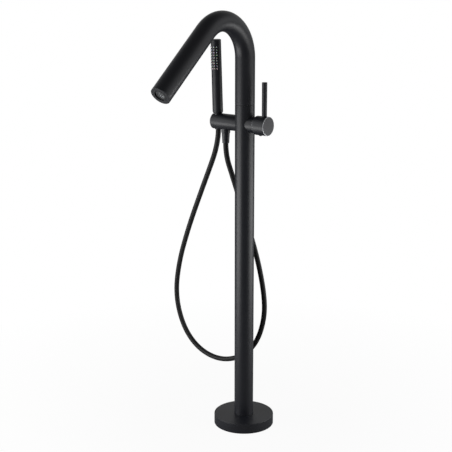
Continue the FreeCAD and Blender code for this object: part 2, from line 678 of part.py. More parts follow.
# ---------------------------------------------------------------- column and supply hoses
cartridge_bore = S["cartridge_dia"] / 2 + S["cartridge_gap"]
transfer_r = S["transfer_dia"] / 2 + S["seat_gap"] / 2
divert_seat = S["divert_bush_dia"] / 2 + S["seat_gap"]
column_tube = ring("column_tube", column_in, column_r, S["hub_height"], S["seam_height"])
column = cut(
    "column",
    column_tube,
    cylinder("column_hole_lever", cartridge_bore, 0, column_r + OVER, "x", on_bar),
    cylinder("column_hole_bar", transfer_r + S["transfer_hole_gap"], 0, column_r + OVER, "-x", on_bar),
    cylinder("column_hole_back", divert_seat + S["divert_hole_gap"], 0, column_r + OVER, "y", on_bar),
)

supply_hoses = []
for side, word in ((-1, "hot"), (1, "cold")):
    body = new_body(word + "_supply_hose")
    sk = sketch(body, word + "_supply_section", "XY_Plane", supply_low)
    circle(sk, 0, S["inlet_offset"] * side, S["supply_dia"] / 2)
    circle(sk, 0, S["inlet_offset"] * side, S["supply_bore"] / 2)
    pad = body.newObject("PartDesign::Pad", word + "_supply_length")
    pad.Profile = sk
    bind(pad, "Length", supply_high - supply_low)
    supply_hoses.append(body)

# ---------------------------------------------------------------- valve body
valve_r = column_in - S["valve_gap"]
valve = turned("valve_body_turned", [
    (0, S["valve_low"]),
    (valve_r - S["valve_edge"], S["valve_low"]),
    (valve_r, S["valve_low"] + S["valve_edge"]),
    (valve_r, S["valve_top"]),
    (0, S["valve_top"]),
])
mix_r = S["mix_bore"] / 2
mixed_r = mix_r * S["mixed_share"]
port_z = bar_z - S["port_drop"]
port_r = S["port_bore"] / 2
stub_r = S["post_stub_dia"] / 2
post_seat_r = stub_r + S["thread_gap"]
post_low = S["valve_top"] - S["post_stub"]
valve_tools = [
    cylinder("valve_seat_cartridge", cartridge_bore, S["cartridge_start"], column_r, "x", on_bar),
    cylinder("valve_mixed_port", mixed_r, 0, S["cartridge_start"] + OVER, "x", on_bar),
    cylinder("valve_diverter_bore", mix_r, -S["divert_depth"], column_r, "y", on_bar),
    cylinder("valve_bush_seat", divert_seat, S["bush_seat_depth"], column_r, "y", on_bar),
    cylinder("valve_transfer_way", S["transfer_bore"] / 2, 0, column_r, "-x", on_bar),
    cylinder("valve_transfer_seat", transfer_r, S["transfer_in"], column_r, "-x", on_bar),
    cylinder("valve_riser", mix_r, bar_z, S["valve_top"] + OVER, "z"),
    cylinder("valve_post_seat", post_seat_r, post_low, S["valve_top"] + OVER, "z"),
]
for side in (-1, 1):
    y = S["inlet_offset"] * side
    y2 = S["port_offset"] * side
    seat_low = S["valve_low"] - OVER
    valve_tools.append(cylinder("valve_supply_seat", seat_r, seat_low, supply_high, "z", (0, y, 0)))
    valve_tools.append(cylinder("valve_supply_way", port_r, S["valve_low"], port_z, "z", (0, y2, 0)))
    valve_tools.append(cylinder("valve_port", port_r, 0, S["cartridge_start"] + OVER, "x", (0, y2, port_z)))
valve_body = cut("valve_body", valve, *valve_tools)

# ---------------------------------------------------------------- cartridge housing
nut_out = cartridge_bore + S["nut_wall"]
housing = turned("housing_turned", [
    (S["arm_root"], cartridge_bore),
    (S["arm_root"], bar_r),
    (S["housing_end"] - S["housing_edge"], bar_r),
    (S["housing_end"], bar_r - S["housing_edge"]),
    (S["housing_end"], nut_out),
    (S["cartridge_end"], nut_out),
    (S["cartridge_end"], cartridge_bore),
], axis="x", at=on_bar)
cartridge_housing = cut(
    "cartridge_housing",
    housing,
    cylinder("housing_saddle", column_r, bar_z - S["bar_dia"], bar_z + S["bar_dia"], "z"),
)

rotor_r = S["rotor_dia"] / 2
rotor_room = rotor_r + S["rotor_gap"]
disc_seat = S["cartridge_start"] + S["disc_inset"]
cartridge_r = S["cartridge_dia"] / 2
cartridge = turned("cartridge_turned", [
    (S["cartridge_start"], 0),
    (S["cartridge_start"], cartridge_r),
    (S["cartridge_end"], cartridge_r),
    (S["cartridge_end"], rotor_room),
    (disc_seat, rotor_room),
    (disc_seat, 0),
], axis="x", at=on_bar)
INNER_Y = 0.7  # the inner ways sit closer to the middle than the ports
INNER_Z = 0.5
cartridge_ports = [cylinder("cartridge_mixed", mixed_r, 0, disc_seat + OVER, "x", on_bar)]
for side in (-1, 1):
    y2 = S["port_offset"] * side
    port_at = (0, y2, port_z)
    port_end = S["cartridge_start"] + S["port_seal"]
    cartridge_ports.append(cylinder("cartridge_port", port_r - S["port_step"], 0, port_end, "x", port_at))
    inner_at = (port_end - OVER, y2 * INNER_Y, bar_z - S["port_drop"] * INNER_Z)
    inner_r = port_r * S["port_share"]
    cartridge_ports.append(cylinder("cartridge_way", inner_r, 0, S["cartridge_start"], "x", inner_at))
cartridge_body = cut("cartridge_body", cartridge, *cartridge_ports)

nut_in = S["nut_bore"] / 2
cartridge_nut = turned("cartridge_nut", [
    (S["cartridge_end"], nut_in),
    (S["cartridge_end"], nut_out - S["seat_gap"]),
    (S["housing_end"] - S["nut_inset"], nut_out - S["seat_gap"]),
    (S["housing_end"] - S["nut_inset"], nut_in),
], axis="x", at=on_bar)

disc_fixed = turned("ceramic_disc_turned", [
    (disc_seat, 0),
    (disc_seat, rotor_room - S["seat_gap"]),
    (disc_seat + S["disc_thick"], rotor_room - S["seat_gap"]),
    (disc_seat + S["disc_thick"], 0),
], axis="x", at=on_bar)
ceramic_disc_fixed = cut(
    "ceramic_disc_fixed",
    disc_fixed,
    cylinder("disc_mixed", mix_r * S["disc_share"], 0, S["cartridge_end"], "x", on_bar),
)
moving_start = disc_seat + S["disc_thick"] + S["disc_gap"]
moving_end = moving_start + S["disc_thick"]
ceramic_disc_moving = turned("ceramic_disc_moving", [
    (moving_start, 0),
    (moving_start, rotor_r - S["disc_room"]),
    (moving_end, rotor_r - S["disc_room"]),
    (moving_end, 0),
], axis="x", at=on_bar)

rotor_turned = turned("rotor_turned", [
    (moving_end, 0),
    (moving_end, rotor_r),
    (S["rotor_end"], rotor_r),
    (S["rotor_end"], 0),
], axis="x", at=on_bar)
pivot_r = S["pivot_dia"] / 2
pivot_at = (S["pivot_place"], 0, bar_z)
slot_half = S["tongue_width"] / 2 + S["tongue_gap"]
slot_x = (moving_end + S["rotor_base"], S["rotor_end"] + OVER)
slot_z = (bar_z - rotor_r - OVER, bar_z + rotor_r + OVER)
rotor_slot = box("rotor_slot", slot_x, (-slot_half, slot_half), slot_z)
cartridge_rotor = cut(
    "cartridge_rotor",
    rotor_turned,
    rotor_slot,
    cylinder("rotor_pin_hole", pivot_r, -rotor_r, rotor_r, "y", pivot_at),
)
pin_half = rotor_r - S["pin_short"]
tilt_pin = cylinder("tilt_pin", pivot_r, -pin_half, pin_half, "y", pivot_at)

# ---------------------------------------------------------------- handle
tongue_half = S["tongue_width"] / 2
tongue_rise = S["tongue_height"] / 2
spindle_r = S["spindle_dia"] / 2
spindle_start = S["rotor_end"] + S["spindle_neck"]
spindle_round = turned("spindle_round", [
    (spindle_start, 0),
    (spindle_start, spindle_r),
    (S["spindle_end"], spindle_r),
    (S["spindle_end"], 0),
], axis="x", at=on_bar)
tongue = box(
    "spindle_tongue",
    (S["pivot_place"] - S["tongue_reach"], spindle_start + OVER),
    (-tongue_half, tongue_half),
    (bar_z - tongue_rise, bar_z + tongue_rise),
)
spindle_solid = fuse("spindle_solid", spindle_round, tongue)
cartridge_spindle = cut(
    "cartridge_spindle",
    spindle_solid,
    cylinder("spindle_pin_hole", pivot_r + S["pin_gap"], -rotor_r, rotor_r, "y", pivot_at),
)

handle_r = S["handle_dia"] / 2
cavity_r = handle_r - S["handle_wall"]
cap = turned("handle_cap_turned", [
    (S["handle_start"], cavity_r),
    (S["handle_start"], handle_r - S["handle_edge"]),
    (S["handle_start"] + S["handle_edge"], handle_r),
    (S["handle_end"] - S["handle_edge"], handle_r),
    (S["handle_end"], handle_r - S["handle_edge"]),
    (S["handle_end"], 0),
    (S["spindle_end"] + S["spindle_room"], 0),
    (S["spindle_end"] + S["spindle_room"], spindle_r + S["push_gap"]),
    (S["handle_floor"], spindle_r + S["push_gap"]),
    (S["handle_floor"], cavity_r),
], axis="x", at=on_bar)
lever_r = S["lever_dia"] / 2
lever_tip_r = S["lever_tip_dia"] / 2
lever_at = (S["lever_place"], 0, bar_z)
plug_at = (S["plug_place"], 0, bar_z)
plug_r = S["plug_dia"] / 2
grub_r = S["grub_dia"] / 2
stud_hole_r = S["lever_stud_dia"] / 2 + S["thread_gap"]
stud_floor = S["lever_stud_end"] - S["lever_stud_room"]
plug_floor = handle_r - S["plug_depth"]
plug_out = S["plug_proud"]
handle_cap = cut(
    "handle_cap",
    cap,
    cylinder("lever_socket", lever_r + S["lever_gap"], S["lever_foot"], handle_r + OVER, "z", lever_at),
    cylinder("lever_thread", stud_hole_r, stud_floor, S["lever_foot"] + OVER, "z", lever_at),
    cylinder("plug_seat", plug_r + S["push_gap"], plug_floor, handle_r + OVER, "-z", plug_at),
    cylinder("grub_thread", grub_r + S["thread_gap"], 0, handle_r, "-z", plug_at),
)
lever_pin = turned("lever_pin", [
    (0, S["lever_stud_end"]),
    (S["lever_stud_dia"] / 2, S["lever_stud_end"]),
    (S["lever_stud_dia"] / 2, S["lever_foot"]),
    (lever_r, S["lever_foot"]),
    (lever_tip_r, S["lever_top"] - S["lever_edge"]),
    (lever_tip_r - S["lever_edge"], S["lever_top"]),
    (0, S["lever_top"]),
], at=lever_at)
grub_out = handle_r - S["grub_inset"]
handle_grub_screw = cylinder("handle_grub_screw", grub_r, spindle_r, grub_out, "-z", plug_at)
screw_plug = turned("screw_plug", [
    (0, -plug_floor),
    (plug_r, -plug_floor),
    (plug_r, -handle_r - plug_out * S["plug_side"]),
    (plug_r * S["plug_crown_width"], -handle_r - plug_out * S["plug_crown"]),
    (0, -handle_r - plug_out),
], at=plug_at)

# ---------------------------------------------------------------- handset bar
outlet_x = -S["outlet_place"]
outlet_at = (outlet_x, 0, bar_z)
boss_r = S["outlet_boss_dia"] / 2
boss_drop = S["outlet_boss_drop"]
bar_solid = turned("bar_turned", [
    (-S["arm_root"], 0),
    (-S["arm_root"], bar_r),
    (S["bar_edge"] - S["bar_end"], bar_r),
    (-S["bar_end"], bar_r - S["bar_edge"]),
    (-S["bar_end"], 0),
], axis="x", at=on_bar)
boss = cylinder("outlet_boss", boss_r, 0, boss_drop, "-z", outlet_at)
bar_with_boss = fuse("bar_with_boss", bar_solid, boss)

# the holder's conical seat follows the hose cone, a clearance larger, along the same leaning axis
lean = S["handset_lean"]
holder_x = -S["holder_place"]
holder_at = (holder_x, 0, bar_z)
cone_top_r = S["cone_top_dia"] / 2
cone_low_r = S["cone_low_dia"] / 2
cone_slope = (cone_top_r - cone_low_r) / (S["cone_top"] + S["cone_drop"])
reach = bar_r + OVER * 6
holder_high_r = cone_top_r + (reach - S["cone_top"]) * cone_slope + S["cone_gap"]
holder_low_r = cone_low_r + (S["cone_drop"] - reach) * cone_slope + S["cone_gap"]
holder_cone = turned("holder_cone", [
    (0, -reach),
    (holder_low_r, -reach),
    (holder_high_r, reach),
    (0, reach),
], at=holder_at, tilt=lean)
slot_r = S["slot_width"] / 2
slot_out = -S["bar_end"] - OVER
holder_slot = box("holder_slot", (slot_out, holder_x), (-slot_r, slot_r), (bar_z - reach, bar_z + reach))
nipple_r = S["nipple_dia"] / 2
nipple_roof = S["nipple_high"] - S["nipple_room"]
holder_bar = cut(
    "holder_bar",
    bar_with_boss,
    cylinder("bar_saddle", column_r, bar_z - S["bar_dia"], bar_z + S["bar_dia"], "z"),
    cylinder("bar_transfer_seat", transfer_r, 0, S["transfer_out"], "-x", on_bar),
    cylinder("bar_way", S["transfer_bore"] / 2, 0, S["outlet_place"] + S["transfer_bore"] / 2, "-x", on_bar),
    cylinder("boss_way", S["nipple_bore"] / 2, 0, boss_drop, "-z", outlet_at),
    cylinder("boss_thread", nipple_r + S["seat_gap"], nipple_roof, boss_drop + OVER, "-z", outlet_at),
    holder_cone,
    holder_slot,
)
transfer_tube = turned("transfer_tube", [
    (-S["transfer_out"], S["transfer_bore"] / 2),
    (-S["transfer_out"], S["transfer_dia"] / 2),
    (-S["transfer_in"], S["transfer_dia"] / 2),
    (-S["transfer_in"], S["transfer_bore"] / 2),
], axis="x", at=on_bar)

outlet_nipple = turned("outlet_nipple", [
    (S["nipple_bore"] / 2, -S["nipple_low"]),
    (nipple_r, -S["nipple_low"]),
    (nipple_r, -S["nipple_high"]),
    (S["nipple_bore"] / 2, -S["nipple_high"]),
], at=outlet_at)
check_valve = turned("outlet_check_valve", [
    (S["check_bore"] / 2, S["check_inset"] - S["nipple_low"]),
    (S["nipple_bore"] / 2, S["check_inset"] - S["nipple_low"]),
    (S["nipple_bore"] / 2, -S["nipple_high"] - S["check_top"]),
    (S["check_bore"] / 2, -S["nipple_high"] - S["check_top"]),
], at=outlet_at)
outlet_washer = turned("outlet_hose_washer", [
    (S["nipple_bore"] / 2, -S["nipple_low"] - S["washer_thick"]),
    (nipple_r, -S["nipple_low"] - S["washer_thick"]),
    (nipple_r, -S["nipple_low"]),
    (S["nipple_bore"] / 2, -S["nipple_low"]),
], at=outlet_at)
out_top = -boss_drop - S["nut_gap"]
out_low = out_top - S["outlet_nut_length"]
out_shoulder = -S["nipple_low"] - S["washer_thick"]
hose_nut_outlet = turned("hose_nut_outlet", [
    (S["nipple_bore"] / 2, out_low),
    (S["outlet_nut_low_dia"] / 2, out_low),
    (S["outlet_nut_top_dia"] / 2, out_top),
    (nipple_r + S["seat_gap"], out_top),
    (nipple_r + S["seat_gap"], out_shoulder),
    (S["nipple_bore"] / 2, out_shoulder),
], at=outlet_at)

# ---------------------------------------------------------------- hose cone and handset
# all of these are drawn upright round the holder's axis and share its lean
stud_r = S["stud_dia"] / 2
stud_low = S["handset_start"] - S["stud_length"]
hose_cone = turned("hose_nut_handset", [
    (S["stud_bore"] / 2, -S["cone_drop"]),
    (cone_low_r, -S["cone_drop"]),
    (cone_top_r, S["cone_top"]),
    (stud_r + S["stud_gap"], S["cone_top"]),
    (stud_r + S["stud_gap"], stud_low - S["washer_thick"] - S["run_gap"]),
    (S["stud_bore"] / 2, stud_low - S["washer_thick"] - S["run_gap"]),
], at=holder_at, tilt=lean)
handset_washer = turned("handset_hose_washer", [
    (S["stud_bore"] / 2, stud_low - S["washer_thick"] - S["run_gap"]),
    (stud_r, stud_low - S["washer_thick"] - S["run_gap"]),
    (stud_r, stud_low - S["run_gap"]),
    (S["stud_bore"] / 2, stud_low - S["run_gap"]),
], at=holder_at, tilt=lean)

shell_low = S["handset_start"] + S["handset_bevel"]
shell_r = S["handset_dia"] / 2
shell_top_r = S["handset_top_dia"] / 2
plug_in_r = shell_top_r - S["handset_wall"]
mat_out = plug_in_r
mat_in = mat_out - S["mat_wall"]
core_r = S["core_dia"] / 2
base_top = shell_low + S["base_plug"]
handset_stud = turned("handset_stud", [
    (S["stud_bore"] / 2, stud_low),
    (stud_r, stud_low),
    (stud_r, base_top),
    (S["stud_bore"] / 2, base_top),
], at=holder_at, tilt=lean)
handset_foot_ring = turned("handset_foot_ring", [
    (stud_r + S["thread_gap"], S["handset_start"]),
    (shell_r - S["handset_bevel_in"], S["handset_start"]),
    (shell_r, shell_low),
    (plug_in_r, shell_low),
    (plug_in_r, base_top),
    (stud_r + S["thread_gap"], base_top),
], at=holder_at, tilt=lean)

shell = turned("handset_shell", [
    (plug_in_r, shell_low),
    (shell_r, shell_low),
    (shell_top_r, S["handset_top"] - S["handset_edge"]),
    (shell_top_r - S["handset_edge"], S["handset_top"]),
    (0, S["handset_top"]),
    (0, S["handset_top"] - S["handset_roof"]),
    (plug_in_r, S["handset_top"] - S["handset_roof"]),
], at=holder_at, tilt=lean)


def nozzle_pattern(body, feature, prefix):
    """Repeat one nozzle feature up the handset and round its front."""
    many = doc.addObject("PartDesign::MultiTransform", prefix + "_pattern")
    many.Originals = [feature]
    body.addObject(many)
    rows = doc.addObject("PartDesign::LinearPattern", prefix + "_rows")
    rows.Direction = (origin(body, "Z_Axis"), [""])
    bind(rows, "Length", S["nozzle_pitch"] * (S["nozzle_rows"] - 1))
    rows.Occurrences = int(S["nozzle_rows"].value)
    rows.setExpression("Occurrences", S["nozzle_rows"].text)
    fan = doc.addObject("PartDesign::PolarPattern", prefix + "_fan")
    fan.Axis = (origin(body, "Z_Axis"), [""])
    bind(fan, "Angle", S["nozzle_fan"])
    fan.Occurrences = int(S["nozzle_columns"].value)
    fan.setExpression("Occurrences", S["nozzle_columns"].text)
    fan.Reversed = True
    many.Transformations = [rows, fan]
    body.Tip = many


def fan_sketch(body, name, radius, x_shift=0):
    """Circle on the upright plane that is turned to the first nozzle column."""
    sk = body.newObject("Sketcher::SketchObject", name)
    sk.AttachmentSupport = [(origin(body, "XZ_Plane"), "")]
    sk.MapMode = "FlatFace"
    half = S["nozzle_fan"] / 2
    sk.AttachmentOffset = FreeCAD.Placement(V(0, 0, 0), FreeCAD.Rotation(V(0, 1, 0), half.value))
    sk.setExpression("AttachmentOffset.Rotation.Angle", half.text)
    circle(sk, x_shift, S["nozzle_first"], radius)
    return sk


hole_sketch = fan_sketch(shell, "nozzle_hole_sketch", S["nozzle_dia"] / 2)
doc.recompute()
hole = shell.newObject("PartDesign::Pocket", "nozzle_hole")
hole.Profile = hole_sketch
bind(hole, "Length", shell_r + OVER)
hole.Reversed = True
doc.recompute()
nozzle_pattern(shell, hole, "shell_nozzles")

# silicone mat: a sleeve behind the shell with a nozzle through each hole
mat_low = S["nozzle_first"] - S["mat_reach"]
mat_high = S["nozzle_last"] + S["mat_reach"]
mat = ring("nozzle_mat", mat_in, mat_out, mat_low, mat_high)
place(mat, holder_at, None, lean)
nozzle_sketch = fan_sketch(mat, "nozzle_sketch", S["nozzle_dia"] / 2 - S["nozzle_gap"])
doc.recompute()
nozzle = mat.newObject("PartDesign::Pad", "nozzle")
nozzle.Profile = nozzle_sketch
bind(nozzle, "Length", shell_top_r + S["nozzle_proud"])
doc.recompute()
nozzle_pattern(mat, nozzle, "mat_nozzles")
mat_bore = mat.newObject("PartDesign::Pocket", "mat_bore")
bore_sketch = sketch(mat, "mat_bore_sketch", "XY_Plane", mat_low - OVER)
circle(bore_sketch, 0, 0, mat_in)
mat_bore.Profile = bore_sketch
bind(mat_bore, "Length", mat_high - mat_low + OVER * 2)
mat_bore.Reversed = True
mat.Tip = mat_bore

handset_core = turned("handset_water_way", [
    (core_r - S["core_wall"], base_top),
    (core_r, base_top),
    (core_r, S["handset_top"] - S["handset_roof"]),
    (core_r - S["core_wall"], S["handset_top"] - S["handset_roof"]),
], at=holder_at, tilt=lean)

# ---------------------------------------------------------------- swivel
post_r = S["post_dia"] / 2
flange_r = S["post_flange_dia"] / 2
seal_in = post_r - S["groove_depth"]
groove_top = S["groove_height"] + S["groove_width"]
post_turned = turned("swivel_post_turned", [
    (S["post_bore"] / 2, post_low),
    (stub_r, post_low),
    (stub_r, S["valve_top"]),
    (flange_r, S["valve_top"]),
    (flange_r, S["valve_top"] + S["post_flange"]),
    (post_r, S["valve_top"] + S["post_flange"]),
    (post_r, S["seal_low"]),
    (seal_in, S["seal_low"]),
    (seal_in, S["seal_low"] + S["seal_wire"]),
    (post_r, S["seal_low"] + S["seal_wire"]),
    (post_r, S["seal_high"]),
    (seal_in, S["seal_high"]),
    (seal_in, S["seal_high"] + S["seal_wire"]),
    (post_r, S["seal_high"] + S["seal_wire"]),
    (post_r, S["post_top"] - S["post_edge"]),
    (post_r - S["post_edge"], S["post_top"]),
    (S["post_bore"] / 2, S["post_top"]),
])

# the tip of the spout's set screw runs in a groove round the back of the post, whose ends are the
# stops of the swing; the same screw keeps the spout from lifting off
set_r = S["set_screw_dia"] / 2
BACK = 90  # the groove lies behind the post, round +Y
groove_half = S["spout_swing"] + asind(set_r / seal_in) + S["stop_spare"]
groove_wedge = cylinder("groove_wedge", post_r + OVER, S["groove_height"], groove_top)
bind(groove_wedge, "Angle", groove_half * 2)
groove_wedge.Placement.Rotation = FreeCAD.Rotation(V(0, 0, 1), BACK - groove_half.value)
groove_wedge.setExpression("Placement.Rotation.Angle", (BACK - groove_half).text)
groove_core = cylinder("groove_core", seal_in, S["groove_height"] - OVER, groove_top + OVER)
groove = cut("swivel_groove", groove_wedge, groove_core)
swivel_post = cut("swivel_post", post_turned, groove)
swivel_seal_low = ring("swivel_seal_low", seal_in, post_r, S["seal_low"], S["seal_low"] + S["seal_wire"])
swivel_seal_high = ring("swivel_seal_high", seal_in, post_r, S["seal_high"], S["seal_high"] + S["seal_wire"])
spout_low = S["seam_height"] + S["seam_gap"]
glide_in = flange_r + S["glide_gap"]
glide_ring = ring("glide_ring", glide_in, S["glide_dia"] / 2, S["valve_top"], spout_low - S["run_gap"])

set_z = S["groove_height"] + S["groove_width"] / 2
hose_in_r = S["spout_hose_dia"] / 2
hose_bore_r = hose_in_r - S["spout_hose_wall"]
bush_roof = S["post_top"] + S["post_room"]
bush_out = column_in - S["mouth_gap"]
bush_in = post_r + S["swivel_gap"]
bush = turned("spout_bush_turned", [
    (bush_in, spout_low),
    (bush_out, spout_low),
    (bush_out, S["bush_top"]),
    (hose_in_r + S["seat_gap"], S["bush_top"]),
    (hose_in_r + S["seat_gap"], S["bush_top"] - S["spout_hose_seat"]),
    (hose_bore_r, S["bush_top"] - S["spout_hose_seat"]),
    (hose_bore_r, bush_roof),
    (bush_in, bush_roof),
])
spout_bush = cut(
    "spout_bush",
    bush,
    cylinder("bush_screw_way", set_r + S["thread_gap"], 0, column_r, "y", (0, 0, set_z)),
)
set_in = seal_in + S["set_screw_gap"]
set_out = column_r - S["set_screw_gap"]
spout_set_screw = cylinder("spout_set_screw", set_r, set_in, set_out, "y", (0, 0, set_z))

# ---------------------------------------------------------------- spout
bend_z = S["bend_height"]
bend_r = S["bend_radius"]
beta = S["bend_angle"]
bend_y = -bend_r * (1 - cosd(beta))
bend_top = bend_z + bend_r * sind(beta)
tip_y = bend_y - S["spout_run"] * sind(beta)
tip_z = bend_top + S["spout_run"] * cosd(beta)


def bent_tube(name, outer, inner, low, run):
    """Tube swept up the column's axis, round the bend and down its straight run."""
    body = new_body(name)
    spine = sketch(body, name + "_spine", "YZ_Plane")
    end_y = bend_y - run * sind(beta)
    end_z = bend_top + run * cosd(beta)
    a = V(0, low.value, 0)
    b = V(0, bend_z.value, 0)
    c = V(bend_y.value, bend_top.value, 0)
    d = V(end_y.value, end_z.value, 0)
    centre = V(-bend_r.value, bend_z.value, 0)
    spine.addGeometry(Part.LineSegment(a, b), False)
    bow = Part.Circle(centre, V(0, 0, 1), bend_r.value)
    spine.addGeometry(Part.ArcOfCircle(bow, 0, math.radians(beta.value)), False)
    spine.addGeometry(Part.LineSegment(c, d), False)
    spine.addConstraint(Sketcher.Constraint("Coincident", 0, 2, 1, 1))
    spine.addConstraint(Sketcher.Constraint("Coincident", 1, 2, 2, 1))
    hold(spine, "DistanceX", 0, 1, 0)
    hold(spine, "DistanceY", 0, 1, low)
    hold(spine, "DistanceX", 0, 2, 0)
    hold(spine, "DistanceY", 0, 2, bend_z)
    hold(spine, "DistanceX", 1, 3, -bend_r)
    hold(spine, "DistanceY", 1, 3, bend_z)
    hold(spine, "DistanceX", 1, 2, bend_y)
    hold(spine, "DistanceX", 2, 2, end_y)
    hold(spine, "DistanceY", 2, 2, end_z)
    section = sketch(body, name + "_section", "XY_Plane", low)
    circle(section, 0, 0, outer)
    circle(section, 0, 0, inner)
    doc.recompute()
    pipe = body.newObject("PartDesign::AdditivePipe", name + "_pipe")
    pipe.Profile = section
    pipe.Spine = (spine, ["Edge1", "Edge2", "Edge3"])
    return body


spout_tube = bent_tube("spout_tube_bent", column_r, column_in, spout_low, S["spout_run"])
spout = cut(
    "spout",
    spout_tube,
    cylinder("spout_screw_hole", set_r + S["thread_gap"], 0, column_r + OVER, "y", (0, 0, set_z)),
)
hose_run = S["spout_run"] - S["mouth_length"] + S["spout_hose_seat"]
hose_low = S["bush_top"] - S["spout_hose_seat"]
spout_water_hose = bent_tube("spout_water_hose", hose_in_r, hose_bore_r, hose_low, hose_run)

# mouth pieces are drawn along the outflow, from the tube's end face inwards
tip_at = (0, tip_y, tip_z)
aerator_r = S["aerator_dia"] / 2
aerator_in = aerator_r - S["aerator_wall"]
recess = -S["mouth_recess"]
seat_low = recess - S["aerator_length"] - S["aerator_room"]
hose_seat = -S["mouth_length"] + S["spout_hose_seat"]
spout_mouth = turned("spout_mouth", [
    (bush_out, -S["mouth_length"]),
    (bush_out, 0),
    (S["mouth_recess_dia"] / 2, 0),
    (S["mouth_recess_dia"] / 2, recess),
    (aerator_r + S["push_gap"], recess),
    (aerator_r + S["push_gap"], seat_low),
    (hose_bore_r, seat_low),
    (hose_bore_r, hose_seat),
    (hose_in_r + S["seat_gap"], hose_seat),
    (hose_in_r + S["seat_gap"], -S["mouth_length"]),
], at=tip_at, tilt=beta)
aerator_front = recess + S["aerator_proud"]
grid_top = aerator_front - S["lip_thick"]
aerator_housing = turned("aerator_housing", [
    (aerator_in, recess - S["aerator_length"]),
    (aerator_r, recess - S["aerator_length"]),
    (aerator_r, aerator_front - S["aerator_edge"]),
    (aerator_r - S["aerator_edge"], aerator_front),
    (aerator_in - S["aerator_lip"], aerator_front),
    (aerator_in - S["aerator_lip"], grid_top),
    (aerator_in, grid_top),
], at=tip_at, tilt=beta)

grid = new_body("aerator_grid")
disc_sketch = sketch(grid, "grid_disc_sketch", "XY_Plane", grid_top - S["grid_thick"])
circle(disc_sketch, 0, 0, aerator_in)
disc_pad = grid.newObject("PartDesign::Pad", "grid_disc")
disc_pad.Profile = disc_sketch
bind(disc_pad, "Length", S["grid_thick"])
doc.recompute()
GRID_RINGS = (
    ("outer", S["grid_circle"] / 2, S["grid_count"]),
    ("inner", S["grid_circle"] / 4, S["grid_inner_count"]),
)
for name, at_r, count in GRID_RINGS:
    hole_sketch = sketch(grid, "grid_%s_sketch" % name, "XY_Plane", grid_top - S["grid_thick"])
    circle(hole_sketch, at_r, 0, S["grid_hole"] / 2)
    doc.recompute()
    grid_pocket = grid.newObject("PartDesign::Pocket", "grid_%s_hole" % name)
    grid_pocket.Profile = hole_sketch
    bind(grid_pocket, "Length", S["grid_thick"] * 2)
    grid_pocket.Reversed = True
    doc.recompute()
    around = grid.newObject("PartDesign::PolarPattern", "grid_%s_holes" % name)
    around.Originals = [grid_pocket]
    around.Axis = (origin(grid, "Z_Axis"), [""])
    around.Angle = 360
    around.Occurrences = int(count.value)
    around.setExpression("Occurrences", count.text)
    grid.Tip = around
    doc.recompute()
place(grid, tip_at, None, beta)

# ---------------------------------------------------------------- diverter
stem_r = S["divert_stem_dia"] / 2
stem_way = stem_r + S["divert_gap"]
divert_bush_r = S["divert_bush_dia"] / 2
divert_in = S["bush_seat_depth"] + S["bush_end_gap"]
divert_root = column_r - S["divert_root"]
flange_edge = S["divert_flange_edge"]
flange = turned("diverter_flange_turned", [
    (divert_root, stem_way),
    (divert_root, S["divert_flange_dia"] / 2),
    (S["divert_flange_out"] - flange_edge, S["divert_flange_dia"] / 2),
    (S["divert_flange_out"], S["divert_flange_dia"] / 2 - flange_edge),
    (S["divert_flange_out"], stem_way),
], axis="y", at=on_bar)
flange_coped = cut(
    "diverter_flange_coped",
    flange,
    cylinder("diverter_saddle", column_r, bar_z - S["divert_flange_dia"], bar_z + S["divert_flange_dia"]),
)
thread = turned("diverter_thread", [
    (divert_in, stem_way),
    (divert_in, divert_bush_r),
    (S["divert_flange_out"] - OVER, divert_bush_r),
    (S["divert_flange_out"] - OVER, stem_way),
], axis="y", at=on_bar)
diverter_bush = fuse("diverter_bush", flange_coped, thread)
spool_start = S["spool_inset"] - S["divert_depth"]
knob_floor = S["divert_knob_start"] + S["divert_knob_seat"]
diverter_stem = turned("diverter_stem", [
    (spool_start, 0),
    (spool_start, mix_r - S["divert_gap"]),
    (spool_start + S["divert_spool"], mix_r - S["divert_gap"]),
    (spool_start + S["divert_spool"], stem_r),
    (knob_floor, stem_r),
    (knob_floor, 0),
], axis="y", at=on_bar)
knob_r = S["divert_knob_dia"] / 2
diverter_knob = turned("diverter_knob", [
    (S["divert_knob_start"], stem_r + S["thread_gap"]),
    (S["divert_knob_start"], knob_r - S["divert_knob_edge"]),
    (S["divert_knob_start"] + S["divert_knob_edge"], knob_r),
    (S["divert_knob_end"] - S["divert_knob_edge"], knob_r),
    (S["divert_knob_end"], knob_r - S["divert_knob_edge"]),
    (S["divert_knob_end"], 0),
    (knob_floor, 0),
    (knob_floor, stem_r + S["thread_gap"]),
], axis="y", at=on_bar)

# ---------------------------------------------------------------- hose
# The hose leaves the outlet nut straight down, swings behind the column, hangs in one wide
# loop and climbs to the handset.  Straight runs are joined by tangent arcs.
cone_foot = S["cone_drop"] + S["nut_gap"]
hose_start = (outlet_x, Size.of(0), bar_z + out_low)
hose_end = (holder_x, cone_foot * sind(lean), bar_z - cone_foot * cosd(lean))
HOSE_POINTS = [
    (-50.0, 14.0, 666.0),
    (-34.0, 35.0, 580.0),
    (4.5, 46.0, 462.0),
    (30.5, 46.0, 362.0),
    (34.7, 45.0, 290.0),
    (10.8, 43.0, 214.0),
    (-38.0, 40.5, 163.0),
    (-111.0, 38.0, 137.0),
    (-188.0, 38.0, 152.0),
    (-243.2, 37.0, 206.0),
    (-268.5, 34.5, 296.0),
    (-250.6, 30.0, 396.0),
    (-209.4, 24.0, 503.0),
    (-156.0, 14.5, 612.0),
    (-119.2, 8.0, 684.0),
    (-97.7, 4.0, 728.5),
]
first = V(*[c.value for c in hose_start])
last = V(*[c.value for c in hose_end])
along = V(0, sind(lean).value, -cosd(lean).value)
points = [first, first - V(0, 0, S["hose_first_run"].value)]
